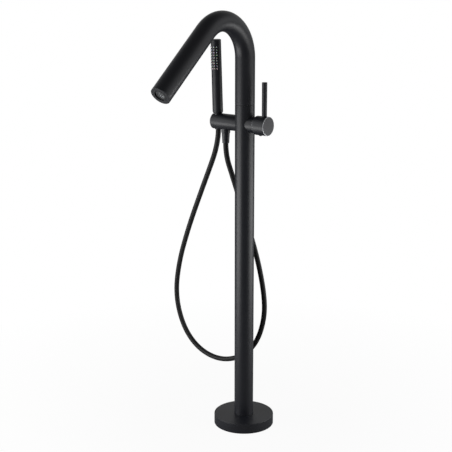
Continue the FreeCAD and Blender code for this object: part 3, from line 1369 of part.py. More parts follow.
points += [V(*p) for p in HOSE_POINTS]
points += [last + along * S["hose_last_run"].value, last]


def rounded_route(corners, share=0.45):
    """Wire of straight runs and tangent arcs, its length and its radii."""
    edges = []
    radii = []
    last = corners[0]
    for i in range(1, len(corners) - 1):
        back = corners[i] - corners[i - 1]
        ahead = corners[i + 1] - corners[i]
        reach = share * min(back.Length, ahead.Length)
        u = V(back).normalize()
        w = V(ahead).normalize()
        half = u.getAngle(w) / 2
        radius = reach / math.tan(half)
        start = corners[i] - u * reach
        end = corners[i] + w * reach
        inward = (w - u).normalize()
        middle = corners[i] + inward * (radius / math.cos(half) - radius)
        edges.append(Part.LineSegment(last, start).toShape())
        edges.append(Part.Arc(start, middle, end).toShape())
        radii.append(radius)
        last = end
    edges.append(Part.LineSegment(last, corners[-1]).toShape())
    wire = Part.Wire(edges)
    return wire, radii


route, radii = rounded_route(points)
hose_r = S["hose_dia"].value / 2
section = Part.Wire([Part.makeCircle(hose_r, points[0], points[1] - points[0])])
hose = doc.addObject("Part::Feature", "hose")
hose.Shape = route.makePipeShell([section], True, False)
print("hose length %.1f" % route.Length)
print("hose radii " + " ".join("%.0f" % r for r in radii))
runs = [(points[i + 1] - points[i]).Length for i in range(len(points) - 1)]
print("hose runs " + " ".join("%.0f" % r for r in runs))
expected = math.pi * hose_r ** 2 * route.Length
print("hose volume %.0f, section times length %.0f" % (hose.Shape.Volume, expected))

# ---------------------------------------------------------------- nodes
doc.recompute()
nodes = {
    "floor_plate": floor_plate,
    "collar_screw_1": clamp_screws[0],
    "collar_screw_2": clamp_screws[1],
    "collar_screw_3": clamp_screws[2],
    "column_spigot": column_spigot,
    "spigot_screw_left": spigot_screws[0],
    "spigot_screw_right": spigot_screws[1],
    "base_cover": base_cover,
    "cover_ring": cover_ring,
    "column": column,
    "hot_supply_hose": supply_hoses[0],
    "cold_supply_hose": supply_hoses[1],
    "valve_body": valve_body,
    "cartridge_housing": cartridge_housing,
    "cartridge_body": cartridge_body,
    "cartridge_nut": cartridge_nut,
    "ceramic_disc_fixed": ceramic_disc_fixed,
    "ceramic_disc_moving": ceramic_disc_moving,
    "cartridge_rotor": cartridge_rotor,
    "tilt_pin": tilt_pin,
    "cartridge_spindle": cartridge_spindle,
    "handle_cap": handle_cap,
    "lever_pin": lever_pin,
    "handle_grub_screw": handle_grub_screw,
    "screw_plug": screw_plug,
    "holder_bar": holder_bar,
    "transfer_tube": transfer_tube,
    "outlet_nipple": outlet_nipple,
    "outlet_check_valve": check_valve,
    "outlet_hose_washer": outlet_washer,
    "hose_nut_outlet": hose_nut_outlet,
    "hose": hose,
    "hose_nut_handset": hose_cone,
    "handset_hose_washer": handset_washer,
    "handset_stud": handset_stud,
    "handset_foot_ring": handset_foot_ring,
    "handset_shell": shell,
    "nozzle_mat": mat,
    "handset_water_way": handset_core,
    "swivel_post": swivel_post,
    "swivel_seal_low": swivel_seal_low,
    "swivel_seal_high": swivel_seal_high,
    "glide_ring": glide_ring,
    "spout_bush": spout_bush,
    "spout_set_screw": spout_set_screw,
    "spout": spout,
    "spout_water_hose": spout_water_hose,
    "spout_mouth": spout_mouth,
    "aerator_housing": aerator_housing,
    "aerator_grid": grid,
    "diverter_bush": diverter_bush,
    "diverter_stem": diverter_stem,
    "diverter_knob": diverter_knob,
}
for name, obj in nodes.items():
    obj.Label = name
doc.recompute()
faults = []
for obj in doc.Objects:
    if "Invalid" in obj.State or "Error" in obj.State:
        faults.append("%s: %s" % (obj.Label, obj.State))
for name, obj in nodes.items():
    if obj.Shape.isNull() or not obj.Shape.isValid() or obj.Shape.Volume <= 0:
        faults.append("%s: bad shape" % name)
    elif len(obj.Shape.Solids) != 1:
        faults.append("%s: %d solids" % (name, len(obj.Shape.Solids)))
if faults:
    raise RuntimeError("; ".join(faults))
os.makedirs("parts", exist_ok=True)
for name, obj in nodes.items():
    obj.Shape.exportStep("parts/%s.step" % name)
print("%d nodes written" % len(nodes))
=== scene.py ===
"""Looks of a floor standing bath filler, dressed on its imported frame.

Matte black powder coat on every metal part that shows, a soft black hose, pale silicone nozzles,
and the metals, plastics and rubbers of the pieces inside.
"""

import math

import bmesh
import bpy
import numpy as np
from bpy.props import FloatProperty, FloatVectorProperty, IntProperty, PointerProperty
from mathutils import Matrix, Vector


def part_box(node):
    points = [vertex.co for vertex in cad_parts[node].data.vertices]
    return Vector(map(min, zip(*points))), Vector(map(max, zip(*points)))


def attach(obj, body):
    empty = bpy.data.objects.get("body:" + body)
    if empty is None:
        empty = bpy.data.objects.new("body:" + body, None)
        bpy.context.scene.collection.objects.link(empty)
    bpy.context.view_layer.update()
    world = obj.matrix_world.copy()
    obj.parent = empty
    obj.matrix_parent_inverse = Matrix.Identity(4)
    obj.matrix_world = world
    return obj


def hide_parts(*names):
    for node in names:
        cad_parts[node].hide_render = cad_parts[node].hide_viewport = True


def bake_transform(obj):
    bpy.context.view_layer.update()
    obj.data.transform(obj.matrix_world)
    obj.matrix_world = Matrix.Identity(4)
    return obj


bl_info = {
    "name": "Bath Filler Looks",
    "version": (1, 0, 0),
    "blender": (4, 5, 0),
    "location": "View3D > Sidebar > Bath Filler",
    "description": "Surfaces and finishes of a floor standing bath filler",
    "category": "Object",
}

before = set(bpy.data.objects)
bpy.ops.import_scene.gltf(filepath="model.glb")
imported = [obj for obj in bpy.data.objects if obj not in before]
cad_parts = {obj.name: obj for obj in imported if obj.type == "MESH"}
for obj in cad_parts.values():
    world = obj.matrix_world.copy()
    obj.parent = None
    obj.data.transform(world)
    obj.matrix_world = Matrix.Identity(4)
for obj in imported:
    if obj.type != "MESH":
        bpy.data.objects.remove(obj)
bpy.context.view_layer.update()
MM = 0.001
X, Y, Z = range(3)


# ---------------------------------------------------------------- places read from the frame
def span(node, axis):
    """Lowest and highest place of a node along one axis, in metres."""
    low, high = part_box(node)
    return low[axis], high[axis]


def middle(node, axis):
    return sum(span(node, axis)) / 2


def width(node, axis):
    low, high = span(node, axis)
    return high - low


COLUMN_R = span("column", X)[1]
COLUMN_LOW, COLUMN_TOP = span("column", Z)
SPOUT_LOW, SPOUT_TOP = span("spout", Z)
BAR_Z = middle("cartridge_housing", Z)
BAR_R = width("cartridge_housing", Z) / 2
CAP_START, CAP_END = span("handle_cap", X)
CAP_R = width("handle_cap", Z) / 2
OUTLET_X = middle("hose_nut_outlet", X)
HOLDER_X = middle("handset_shell", X)


# ---------------------------------------------------------------- settings
def length(name, description, default):
    """A size in millimetres, kept in metres."""
    return FloatProperty(name=name, description=description, default=default * MM, unit="LENGTH", min=0)


def colour(name, description, default):
    return FloatVectorProperty(
        name=name, description=description, default=default, subtype="COLOR", size=3, min=0, max=1
    )


def share(name, description, default, top=1.0):
    return FloatProperty(name=name, description=description, default=default, min=0, max=top)


class FillerSizes(bpy.types.PropertyGroup):
    """Sizes of the surfaces that the frame's boxes don't give"""

    wall: length("Tube wall", "Wall of the column, the spout and the cover", 2.0)
    fine_edge: length("Fine edge", "Rounding of edges that a finger hardly feels", 0.15)
    edge: length("Edge", "Rounding of turned edges under their coat", 0.45)
    rim: length("Cover rim", "Rounding of the cover's rim", 1.1)
    cap_edge: length("Cap edge", "Rounding of the handle cap's edges", 0.9)
    cover_gap: length("Cover gap", "Gap between cover and column", 0.4)
    ring_room: length("Ring room", "Room round the rubber ring under the cover", 2.0)
    bend_radius: length("Bend radius", "Centre line of the spout's bend", 93.5)
    bend_angle: FloatProperty(
        name="Bend", description="Angle of the spout's bend", default=math.radians(130), subtype="ANGLE"
    )
    spout_run: length("Spout run", "Straight run of the spout after its bend", 212.0)
    recess_radius: length("Recess radius", "Recess in the spout's mouth", 15.5)
    recess: length("Recess depth", "Depth of that recess", 3.0)
    mouth_length: length("Mouth length", "Insert in the spout's mouth", 26.0)
    hose_bore: length("Water hose bore", "Bore of the hose in the spout, on the radius", 5.0)
    cartridge_bore: length("Cartridge bore", "Bore of the housing, on the radius", 17.6)
    nut_thread: length("Nut thread", "Depth of the cartridge nut's thread", 5.2)
    nut_wall: length("Nut wall", "Thread of the cartridge nut beyond the bore", 0.85)
    cap_wall: length("Cap wall", "Skirt of the handle cap", 2.5)
    cap_cavity: length("Cap cavity", "Depth of the cap round the housing", 8.4)
    plug_crown: length("Plug crown", "Rounding of the plug under the cap", 1.4)
    lever_stud: length("Lever stud", "Radius of the lever's threaded stud", 4.0)
    lever_stud_length: length("Stud length", "Length of that stud", 7.5)
    lever_top: length("Lever top", "Rounding of the lever's top", 1.1)
    nut_low_radius: length("Nut foot", "Radius of the outlet nut at its foot", 8.75)
    nipple_radius: length("Nipple", "Radius of the thread in both hose nuts", 8.35)
    nipple_depth: length("Nipple depth", "Depth of that thread", 14.0)
    nut_bore: length("Nut bore", "Bore of both hose nuts, on the radius", 4.75)
    hose_radius: length("Hose radius", "Radius of the hose", 6.75)
    cone_low_radius: length("Cone foot", "Radius of the hose cone at its foot", 8.8)
    cone_top_radius: length("Cone top", "Radius of the hose cone at its top", 10.7)
    cone_top: length("Cone height", "Top of the hose cone above the bar's axis", 20.9)
    cone_drop: length("Cone drop", "Foot of the hose cone below the bar's axis", 21.0)
    lean: FloatProperty(
        name="Lean", description="Lean of the handset", default=math.radians(2.4), subtype="ANGLE"
    )
    handset_radius: length("Handset radius", "Handset at its foot", 13.5)
    handset_top_radius: length("Handset top radius", "Handset at its top", 13.0)
    handset_start: length("Handset start", "Foot of the handset above the bar's axis", 21.2)
    handset_length: length("Handset length", "Length of the handset", 185.8)
    handset_bevel: length("Foot bevel", "Height of the bevel at the handset's foot", 3.6)
    handset_bevel_in: length("Foot bevel width", "How far that bevel draws in", 1.4)
    foot_plug: length("Foot plug", "Foot ring inside the shell", 14.0)
    nozzle_rows: IntProperty(name="Nozzle rows", description="Rows of nozzles up the handset", default=9)
    nozzle_columns: IntProperty(name="Nozzle columns", description="Columns of nozzles", default=4)
    nozzle_pitch: length("Nozzle pitch", "Distance between the rows", 6.7)
    nozzle_inset: length("Nozzle inset", "Highest row below the top of the handset", 18.4)
    nozzle_fan: FloatProperty(
        name="Nozzle fan", description="Angle over the columns", default=math.radians(90), subtype="ANGLE"
    )
    nozzle_radius: length("Nozzle radius", "Radius of a nozzle", 1.45)
    nozzle_proud: length("Nozzle proud", "Nozzles standing out of the shell", 1.45)
    nozzle_hole: length("Nozzle hole", "Radius of a nozzle's hole", 0.3)
    mat_wall: length("Mat wall", "Silicone behind the shell", 1.4)
    mat_reach: length("Mat reach", "Silicone beyond the first and last row", 6.0)
    handset_wall: length("Handset wall", "Shell of the handset", 1.6)


class FillerFinish(bpy.types.PropertyGroup):
    """Colours and textures of the finishes, and the studio"""

    coat: colour("Coat", "Powder coat", (0.0088, 0.0098, 0.0142))
    # Coat on edges: lighter partly for a thinner coat and partly as a painted highlight on rounded edges.
    coat_edge_and_highlight: colour("Coat on edges", "Powder coat where it lies thin", (0.018, 0.019, 0.025))
    coat_roughness: share("Coat roughness", "Roughness of the powder coat", 0.41)
    coat_sheen: share("Coat reflection", "Specular level of the powder coat", 0.40)
    coat_grain: length("Coat grain", "Size of the coat's grain", 1.1)
    hose: colour("Hose", "Soft hose", (0.0115, 0.0116, 0.0120))
    silicone: colour("Silicone", "Nozzles", (0.93, 0.93, 0.92))
    brass: colour("Brass", "Machined brass", (0.66, 0.49, 0.24))
    steel: colour("Steel", "Machined steel", (0.53, 0.54, 0.56))
    rubber: colour("Rubber", "Seals and washers", (0.022, 0.022, 0.022))
    ceramic: colour("Ceramic", "Discs of the cartridge", (0.80, 0.78, 0.74))
    white_plastic: colour("White plastic", "Moulded parts", (0.71, 0.71, 0.69))
    grey_plastic: colour("Grey plastic", "Moulded parts", (0.22, 0.23, 0.24))
    black_plastic: colour("Black plastic", "Aerator", (0.017, 0.018, 0.020))
    floor: colour("Floor", "Studio floor", (0.60, 0.60, 0.60))
    backdrop: share("Backdrop", "Brightness of the backdrop where it is seen", 1.0)
    room: share("Room", "Grey light that the room gives back", 0.04)
    floor_glow: share("Floor glow", "How far the floor near the foot is lit from within", 0.95)
    floor_mirror: share("Floor mirror", "Strength at which mirrored rays see that glow", 0.05)
    backdrop_mirror: share("Backdrop mirror", "Strength at which mirrored rays see the backdrop", 0.60)
    ceiling_mirror: share("Ceiling mirror", "Strength at which they see the ceiling", 0.14)
    left_power: share("Left light", "Power of the left softbox, in watts", 11.5, 500)
    right_power: share("Right light", "Power of the right softbox, in watts", 9.5, 500)
    high_power: share("High light", "Power of the high left softbox, in watts", 5.0, 500)
    back_power: share("Back light", "Power of the high right softbox, in watts", 2.2, 500)


def sizes():
    return bpy.context.scene.filler_sizes


def finish_settings():
    return bpy.context.scene.filler_finish


# ---------------------------------------------------------------- surfaces
PAINTED_GLINT_MARK = 1.0  # added to the edge mark where a chamfer is painted as bare steel for a glint
ARC_STEPS = 7  # points along each rounded corner
TURNS = 96  # points round a turned surface


class Profile:
    """Points (radius, station) of a section, their outward normals, and a mark that peaks on edges."""

    def __init__(self, points, normals, mark, closed):
        self.points = points
        self.normals = normals
        self.mark = mark
        self.closed = closed


def unit(vectors):
    return vectors / np.linalg.norm(vectors, axis=-1, keepdims=True)


def rounded(corners, radii, closed=True, steps=ARC_STEPS):
    """Section with an arc in each corner; the solid lies on the left of its direction of travel.

    At a corner C with unit directions u and w to its neighbours, half the angle between them h and
    the radius r, the arc's centre is C + unit(u + w) * r / sin(h).  Along the arc the tangent turns
    evenly from -u to w; the outward normal n is the tangent turned a quarter to the right, and a
    point is centre + r * n, or centre - r * n where the corner turns inwards.  An open section
    starts and ends on the axis, with the normal of its first and last run there.
    """
    corners = np.array(corners, float)
    radii = np.broadcast_to(np.array(radii, float), len(corners) if closed else len(corners) - 2)
    u = unit(np.roll(corners, 1, 0) - corners)
    w = unit(np.roll(corners, -1, 0) - corners)
    inner = slice(None) if closed else slice(1, -1)
    at, u, w = corners[inner], u[inner], w[inner]
    half = np.arccos(np.clip((u * w).sum(1), -1, 1)) / 2
    centre = at + unit(u + w) * (radii / np.sin(half))[:, None]
    turn = np.arctan2(u[:, 1] * w[:, 0] - u[:, 0] * w[:, 1], -(u * w).sum(1))
    t = np.linspace(0, 1, steps)
    angle = np.arctan2(-u[:, 1], -u[:, 0])[:, None] + turn[:, None] * t
    normals = np.stack([np.sin(angle), -np.cos(angle)], -1)
    side = np.sign(turn)
    points = centre[:, None] + (side * radii)[:, None, None] * normals
    mark = np.where(side > 0, 1.0, 0.0)[:, None] * np.sin(np.pi * t)
    points, normals, mark = points.reshape(-1, 2), normals.reshape(-1, 2), mark.ravel()
    if not closed:
        ends = unit(corners[[1, -1]] - corners[[0, -2]]) @ np.array([[0, -1], [1, 0]])
        points = np.vstack([corners[:1], points, corners[-1:]])
        normals = np.vstack([ends[:1], normals, ends[1:]])
        mark = np.concatenate([[0], mark, [0]])
    return Profile(points, normals, mark, closed)


def stepped(profile, step):
    """The same section with its long runs cut so that no step is longer than the one given.

    A run from P to Q becomes P + (Q - P) * k / n for k from 0 to n - 1, n being its length over
    the step, rounded up; normals and marks follow in the same shares.
    """
    rows = np.column_stack([profile.points, profile.normals, profile.mark])
    after = np.roll(rows, -1, 0)
    if not profile.closed:
        rows, last, after = rows[:-1], rows[-1:], after[:-1]
    runs = np.linalg.norm(after[:, :2] - rows[:, :2], axis=1)
    count = np.maximum(np.ceil(runs / step - 1e-9).astype(int), 1)
    first = np.repeat(np.cumsum(count) - count, count)
    portion = ((np.arange(count.sum()) - first) / np.repeat(count, count))[:, None]
    rows = np.repeat(rows, count, 0) * (1 - portion) + np.repeat(after, count, 0) * portion
    if not profile.closed:
        rows = np.vstack([rows, last])
    return Profile(rows[:, :2], unit(rows[:, 2:4]), rows[:, 4], profile.closed)


def straight(origin, axis):
    """Path origin + s * axis, with two fixed directions across it."""
    axis = unit(np.array(axis, float))
    across = unit(np.cross(axis, [0, 1, 0] if abs(axis[Y]) < 0.9 else [1, 0, 0]))
    other = np.cross(axis, across)

    def at(s):
        directions = (np.tile(v, (len(s), 1)) for v in (across, other, axis))
        return np.array(origin, float) + s[:, None] * axis, *directions
    return at


def bent(low, bend_z, radius, angle):
    """Path up the axis, round a bend towards -Y and straight on.

    With a = clip((s - rise) / radius, 0, angle) the point of the bend is
    (0, -radius * (1 - cos a), bend_z + radius * sin a); before the bend the path is the axis below
    that point, and beyond it the run goes on along the tangent (0, -sin a, cos a).
    """
    rise = bend_z - low

    def at(s):
        a = np.clip((s - rise) / radius, 0, angle)
        zero = np.zeros_like(s)
        tangent = np.stack([zero, -np.sin(a), np.cos(a)], -1)
        bow = np.stack([zero, -radius * (1 - np.cos(a)), bend_z + radius * np.sin(a)], -1)
        beyond = s - rise - a * radius
        across = np.tile([1.0, 0.0, 0.0], (len(s), 1))
        return bow + beyond[:, None] * tangent, across, np.cross(tangent, across), tangent
    return at


def along(line):
    """Path along a line of points, read by its length.

    A station s lies between the points whose lengths enclose it; the tangent is the line's
    gradient there, and the crosswise directions are Y less its part along the tangent, and their
    cross product.
    """
    reach = np.concatenate([[0], np.cumsum(np.linalg.norm(np.diff(line, axis=0), axis=1))])
    slope = unit(np.gradient(line, reach, axis=0))

    def at(s):
        centre = np.stack([np.interp(s, reach, line[:, k]) for k in range(3)], -1)
        tangent = unit(np.stack([np.interp(s, reach, slope[:, k]) for k in range(3)], -1))
        across = unit(np.array([0.0, 1.0, 0.0]) - tangent[:, Y:Z] * tangent)
        return centre, across, np.cross(tangent, across), tangent
    return at


def carried(profile, path, turns=TURNS):
    """Grid of a section turned round a path.

    The point at station s, radius r and angle q is path(s) + r * (cos q * across + sin q * other),
    and its normal has the same shares of those directions and of the tangent.
    """
    centre, across, other, tangent = path(profile.points[:, 1])
    q = np.linspace(0, 2 * np.pi, turns, endpoint=False)[None, :, None]
    spoke = np.cos(q) * across[:, None] + np.sin(q) * other[:, None]
    points = centre[:, None] + profile.points[:, :1, None] * spoke
    normals = profile.normals[:, :1, None] * spoke + profile.normals[:, 1:, None] * tangent[:, None]
    mark = np.repeat(profile.mark[:, None], turns, 1)
    return points, normals, mark


def coped(grid, radius, side):
    """Grid whose root is cut to the round of the column: |x| is at least sqrt(radius^2 - y^2)."""
    points, normals, mark = grid
    saddle = np.sqrt(np.maximum(radius ** 2 - points[..., Y] ** 2, 0))
    points[..., X] = side * np.maximum(side * points[..., X], saddle)
    return points, normals, mark


def faces_of(index, closed):
    """Quads of a grid of vertex numbers that wraps across; pole rows of equal numbers give triangles."""
    after = np.roll(index, -1, 0)
    corners = [index, np.roll(index, -1, 1), np.roll(after, -1, 1), after]
    quads = np.stack(corners, -1) if closed else np.stack(corners, -1)[:-1]
    low = quads[0, 0, 0] == quads[0, 0, 1]
    high = quads[-1, 0, 2] == quads[-1, 0, 3]
    body = quads[int(low):len(quads) - int(high)].reshape(-1, 4).tolist()
    body += quads[0][:, [0, 2, 3]].tolist() if low else []
    return body + (quads[-1][:, [0, 1, 2]].tolist() if high else [])


def mesh_of(name, grids, closed):
    """One mesh of several grids, each with its points, normals and edge marks."""
    verts, normals, marks, faces = [], [], [], []
    base = 0
    for points, normal, mark in grids:
        rows, turns = points.shape[:2]
        index = np.arange(rows * turns).reshape(rows, turns)
        if not closed:
            index[0] = index[0, 0]
            index[-1] = index[-1, 0]
        used, index = np.unique(index, return_inverse=True)
        faces += faces_of(index.reshape(rows, turns) + base, closed)
        verts.append(points.reshape(-1, 3)[used])
        normals.append(unit(normal.reshape(-1, 3)[used]))
        marks.append(mark.ravel()[used])
        base += len(used)
    mesh = bpy.data.meshes.new(name)
    mesh.from_pydata(np.vstack(verts).tolist(), [], faces)
    mesh.polygons.foreach_set("use_smooth", np.ones(len(faces), bool))
    edge = mesh.attributes.new("edge", "FLOAT", "POINT")
    edge.data.foreach_set("value", np.concatenate(marks).astype(np.float32))
    mesh.normals_split_custom_set_from_vertices(np.vstack(normals).tolist())
    mesh.update()
    return mesh


def cleaned_copy(node, name):
    """A CAD node's mesh with its loose triangles merged and its flats joined up."""
    build = bmesh.new()
    build.from_mesh(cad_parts[node].data)
    bmesh.ops.remove_doubles(build, verts=build.verts, dist=1e-6)
    flat = math.radians(0.5)
    bmesh.ops.dissolve_limit(build, angle_limit=flat, verts=build.verts, edges=build.edges)
    mesh = bpy.data.meshes.new(name)
    build.to_mesh(mesh)
    build.free()
    mesh.shade_smooth()
    return mesh


def soften(obj, amount):
    """Rounds the sharp edges of a piece."""
    bevel = obj.modifiers.new("soft_edges", "BEVEL")
    bevel.width = amount
    bevel.segments = 3
    bevel.limit_method = "ANGLE"
    bevel.angle_limit = math.radians(35)
    bevel.harden_normals = True
    bevel.use_clamp_overlap = True


def piece(name, mesh, body, slot, *nodes):
    """Puts a mesh into the scene in a finish, on a body, in the place of CAD nodes."""
    obj = bpy.data.objects.new(name, mesh)
    bpy.context.scene.collection.objects.link(obj)
    mesh.materials.clear()
    mesh.materials.append(finish(slot))
    if body:
        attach(obj, body)
    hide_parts(*nodes)
    return obj


def turned_piece(name, profile, path, body, slot, *nodes, turns=TURNS):
    mesh = mesh_of(name, [carried(profile, path, turns)], profile.closed)
    return piece(name, mesh, body, slot, *nodes)


# ---------------------------------------------------------------- finishes
class Sock:
    """An output socket that takes part in sums and products; each of them adds a Math node."""

    def __init__(self, recipe, socket):
        self.recipe = recipe
        self.socket = socket

    def maths(self, operation, *others):
        """A Math node whose first value is this socket."""
        return self.recipe.add("ShaderNodeMath", {"operation": operation}, dict(enumerate((self, *others))))

    def __add__(self, other):
        return self.maths("ADD", other)

    def __sub__(self, other):
        return self.maths("SUBTRACT", other)

    def __rsub__(self, other):
        return self * -1.0 + other

    def __mul__(self, other):
        return self.maths("MULTIPLY", other)

    __radd__ = __add__
    __rmul__ = __mul__


class Recipe:
    """A node tree that is filled by expressions."""

    def __init__(self, owner):
        owner.use_nodes = True
        self.tree = owner.node_tree
        self.tree.nodes.clear()

    def add(self, kind, settings=None, values=None, out=0):
        """Adds a node; settings are set first, then the values or links of its sockets."""
        node = self.tree.nodes.new(kind)
        for name, value in (settings or {}).items():
            setattr(node, name, value)
        for key, value in (values or {}).items():
            if isinstance(value, Sock):
                self.tree.links.new(value.socket, node.inputs[key])
            else:
                node.inputs[key].default_value = value
        return Sock(self, node.outputs[out]) if len(node.outputs) else None

    def place(self):
        """Object coordinates, in metres."""
        return self.add("ShaderNodeTexCoord", out="Object")

    def noise(self, size, detail=2.0, where=None):
        """Noise whose features are about as large as the size given."""
        values = {"Vector": where or self.place(), "Scale": 1 / size, "Detail": detail}
        return self.add("ShaderNodeTexNoise", {"noise_dimensions": "3D"}, values, "Fac")

    def edge(self):
        """The mark that peaks on rounded edges."""
        return self.add("ShaderNodeAttribute", {"attribute_name": "edge"}, out="Fac")

    def mixed(self, mask, first, second):
        """The first colour where the mask is 0 and the second where it is 1."""
        first, second = (c if isinstance(c, Sock) else (*c, 1.0) for c in (first, second))
        values = {0: mask, 6: first, 7: second}
        return self.add("ShaderNodeMix", {"data_type": "RGBA", "clamp_factor": True}, values, 2)

    def bump(self, height, strength, depth):
        return self.add("ShaderNodeBump", None, {"Height": height, "Strength": strength, "Distance": depth})

    def surface(self, colour_of, roughness, normal, constants=None):
        """Closes a material with the shader; constants are set on its own sockets."""
        values = {"Base Color": colour_of, "Roughness": roughness, "Normal": normal, **(constants or {})}
        shader = self.add("ShaderNodeBsdfPrincipled", None, values)
        self.add("ShaderNodeOutputMaterial", None, {"Surface": shader})


def lighter(tint, amount):
    """A colour moved towards white, or towards black where the amount is below 0."""
    goal = 1.0 if amount > 0 else 0.0
    return tuple(c + (goal - c) * abs(amount) for c in tint)


def powder_coat(recipe):
    """Matte polyester coat: fine orange peel, faint cloudiness, lighter on edges, partly for a thinner coat
    and partly as a painted highlight.

    Where the edge mark passes the glint mark, the chamfer gets bare steel colour and metal as a painted
    glint.
    """
    look = finish_settings()
    grain = look.coat_grain
    edge = recipe.edge()
    cloud = recipe.noise(60 * MM, 3.0)
    peel = recipe.noise(grain, 2.0)
    speck = recipe.noise(grain * 0.3, 1.0)
    # Painted glint: past the glint mark the coat turns to bare steel colour and metal, with lower roughness.
    painted_glint = edge.maths("GREATER_THAN", PAINTED_GLINT_MARK * 1.1)
    # Edges lighter: partly thinner coat, partly a painted highlight on every rounded edge.
    coat = recipe.mixed(edge * 0.7 + (cloud - 0.5) * 0.25, look.coat, look.coat_edge_and_highlight)
    base = recipe.mixed(painted_glint, coat, look.steel)
    rough = (cloud - 0.5) * 0.05 + (speck - 0.5) * 0.08 - painted_glint * 0.15 + look.coat_roughness
    normal = recipe.bump(peel + speck * 0.4, 0.25, 0.05 * MM)
    recipe.surface(base, rough, normal, {"Specular IOR Level": look.coat_sheen, "Metallic": painted_glint})


def soft_hose(recipe):
    """Smooth soft plastic hose with faint extrusion streaks."""
    look = finish_settings()
    cloud = recipe.noise(30 * MM, 3.0)
    skin = recipe.noise(0.8 * MM, 2.0)
    base = recipe.mixed(cloud, look.hose, lighter(look.hose, 0.012))
    rough = (cloud - 0.5) * 0.06 + 0.44
    recipe.surface(base, rough, recipe.bump(skin, 0.15, 0.04 * MM), {"Specular IOR Level": 0.13})


def metal(recipe, tint, roughness, grain):
    """Machined metal: tool marks of a given size and a slight stain."""
    stain = recipe.noise(9 * MM, 4.0)
    marks = recipe.noise(grain, 3.0)
    base = recipe.mixed(stain, tint, lighter(tint, -0.18))
    rough = (marks - 0.5) * 0.16 + roughness
    recipe.surface(base, rough, recipe.bump(marks, 0.3, 0.03 * MM), {"Metallic": 1.0})


def moulded(recipe, tint, roughness, grain, extra=None):
    """Moulded plastic, rubber, silicone or ceramic: fine skin and faint flow marks."""
    flow = recipe.noise(7 * MM, 3.0)
    skin = recipe.noise(grain, 2.0)
    base = recipe.mixed(flow, lighter(tint, 0.03), lighter(tint, -0.10))
    rough = (skin - 0.5) * 0.10 + roughness
    recipe.surface(base, rough, recipe.bump(skin, 0.2, 0.03 * MM), extra)


def braid(recipe):
    """Stainless wire braid over a hose: two families of helical strands, from sin(k * (x + y) + z)."""
    look = finish_settings()
    pitch = 2.2 * MM
    where = recipe.place()
    parts = [recipe.add("ShaderNodeSeparateXYZ", None, {0: where}, out=k) for k in range(3)]
    lead = (parts[X] + parts[Y]) * (2 * math.pi / pitch)
    rise = parts[Z] * (2 * math.pi / pitch)
    right = (lead + rise).maths("SINE") * 0.5 + 0.5
    left = (lead - rise).maths("SINE") * 0.5 + 0.5
    weave = right * left
    base = recipe.mixed(weave, lighter(look.steel, -0.7), look.steel)
    rough = weave * -0.12 + 0.42
    recipe.surface(base, rough, recipe.bump(weave, 0.6, 0.25 * MM), {"Metallic": 1.0})


FINISHES = {
    "matte_black": powder_coat,
    "hose_black": soft_hose,
    "steel": lambda recipe: metal(recipe, finish_settings().steel, 0.30, 0.5 * MM),
    "brass": lambda recipe: metal(recipe, finish_settings().brass, 0.32, 0.6 * MM),
    "supply_hose": braid,
    "rubber": lambda recipe: moulded(recipe, finish_settings().rubber, 0.68, 0.4 * MM),
    "silicone": lambda recipe: moulded(
        recipe, finish_settings().silicone, 0.48, 0.3 * MM,
        {"Subsurface Weight": 0.15, "Subsurface Scale": 0.8 * MM},
    ),
    "ceramic": lambda recipe: moulded(recipe, finish_settings().ceramic, 0.14, 0.2 * MM),
    "white_plastic": lambda recipe: moulded(recipe, finish_settings().white_plastic, 0.40, 0.5 * MM),
    "grey_plastic": lambda recipe: moulded(recipe, finish_settings().grey_plastic, 0.45, 0.5 * MM),
    "black_plastic": lambda recipe: moulded(recipe, finish_settings().black_plastic, 0.42, 0.5 * MM),
}


def finish(slot):
    """The material of a slot, made when it is first asked for."""
    name = "finish_" + slot
    material = bpy.data.materials.get(name)
    if material is None:
        material = bpy.data.materials.new(name)
        FINISHES[slot](Recipe(material))
    return material


# ---------------------------------------------------------------- operators
class FillerOperator:
    bl_options = {"REGISTER", "UNDO"}


class FILLER_OT_kept_parts(FillerOperator, bpy.types.Operator):
    """Finish every solid of the frame that shows as it is, by its material slot"""

    bl_idname = "filler.kept_parts"
    bl_label = "Parts of the frame"

    def execute(self, context):
        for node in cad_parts.values():
            for held in node.material_slots:
                held.material = finish(held.material.name.split(".")[0].removeprefix("finish_"))
        return {"FINISHED"}


class FILLER_OT_foot(FillerOperator, bpy.types.Operator):
    """Cover disc on the floor, with its rubber ring's groove"""

    bl_idname = "filler.foot"
    bl_label = "Foot cover"

    def execute(self, context):
        size = sizes()
        out = span("base_cover", X)[1]
        top = span("base_cover", Z)[1]
        hole = COLUMN_R + size.cover_gap
        ring_out = span("cover_ring", X)[1]
        ring_low, ring_top = span("cover_ring", Z)
        room = ring_out + size.ring_room
        under = top - size.wall
        corners = [
            (out - size.wall, 0),
            (out, 0),
            (out, top),
            (hole, top),
            (hole, ring_top),
            (ring_out, ring_top),
            (ring_out, ring_low),
            (room, ring_low),
            (room, under),
            (out - size.wall, under),
        ]
        radii = np.full(len(corners), size.fine_edge)
        radii[2] = size.rim
        radii[3] = size.edge
        profile = rounded(corners, radii)
        path = straight((0, 0, 0), (0, 0, 1))
        turned_piece("foot_cover", profile, path, "stand", "matte_black", "base_cover", turns=160)
        return {"FINISHED"}


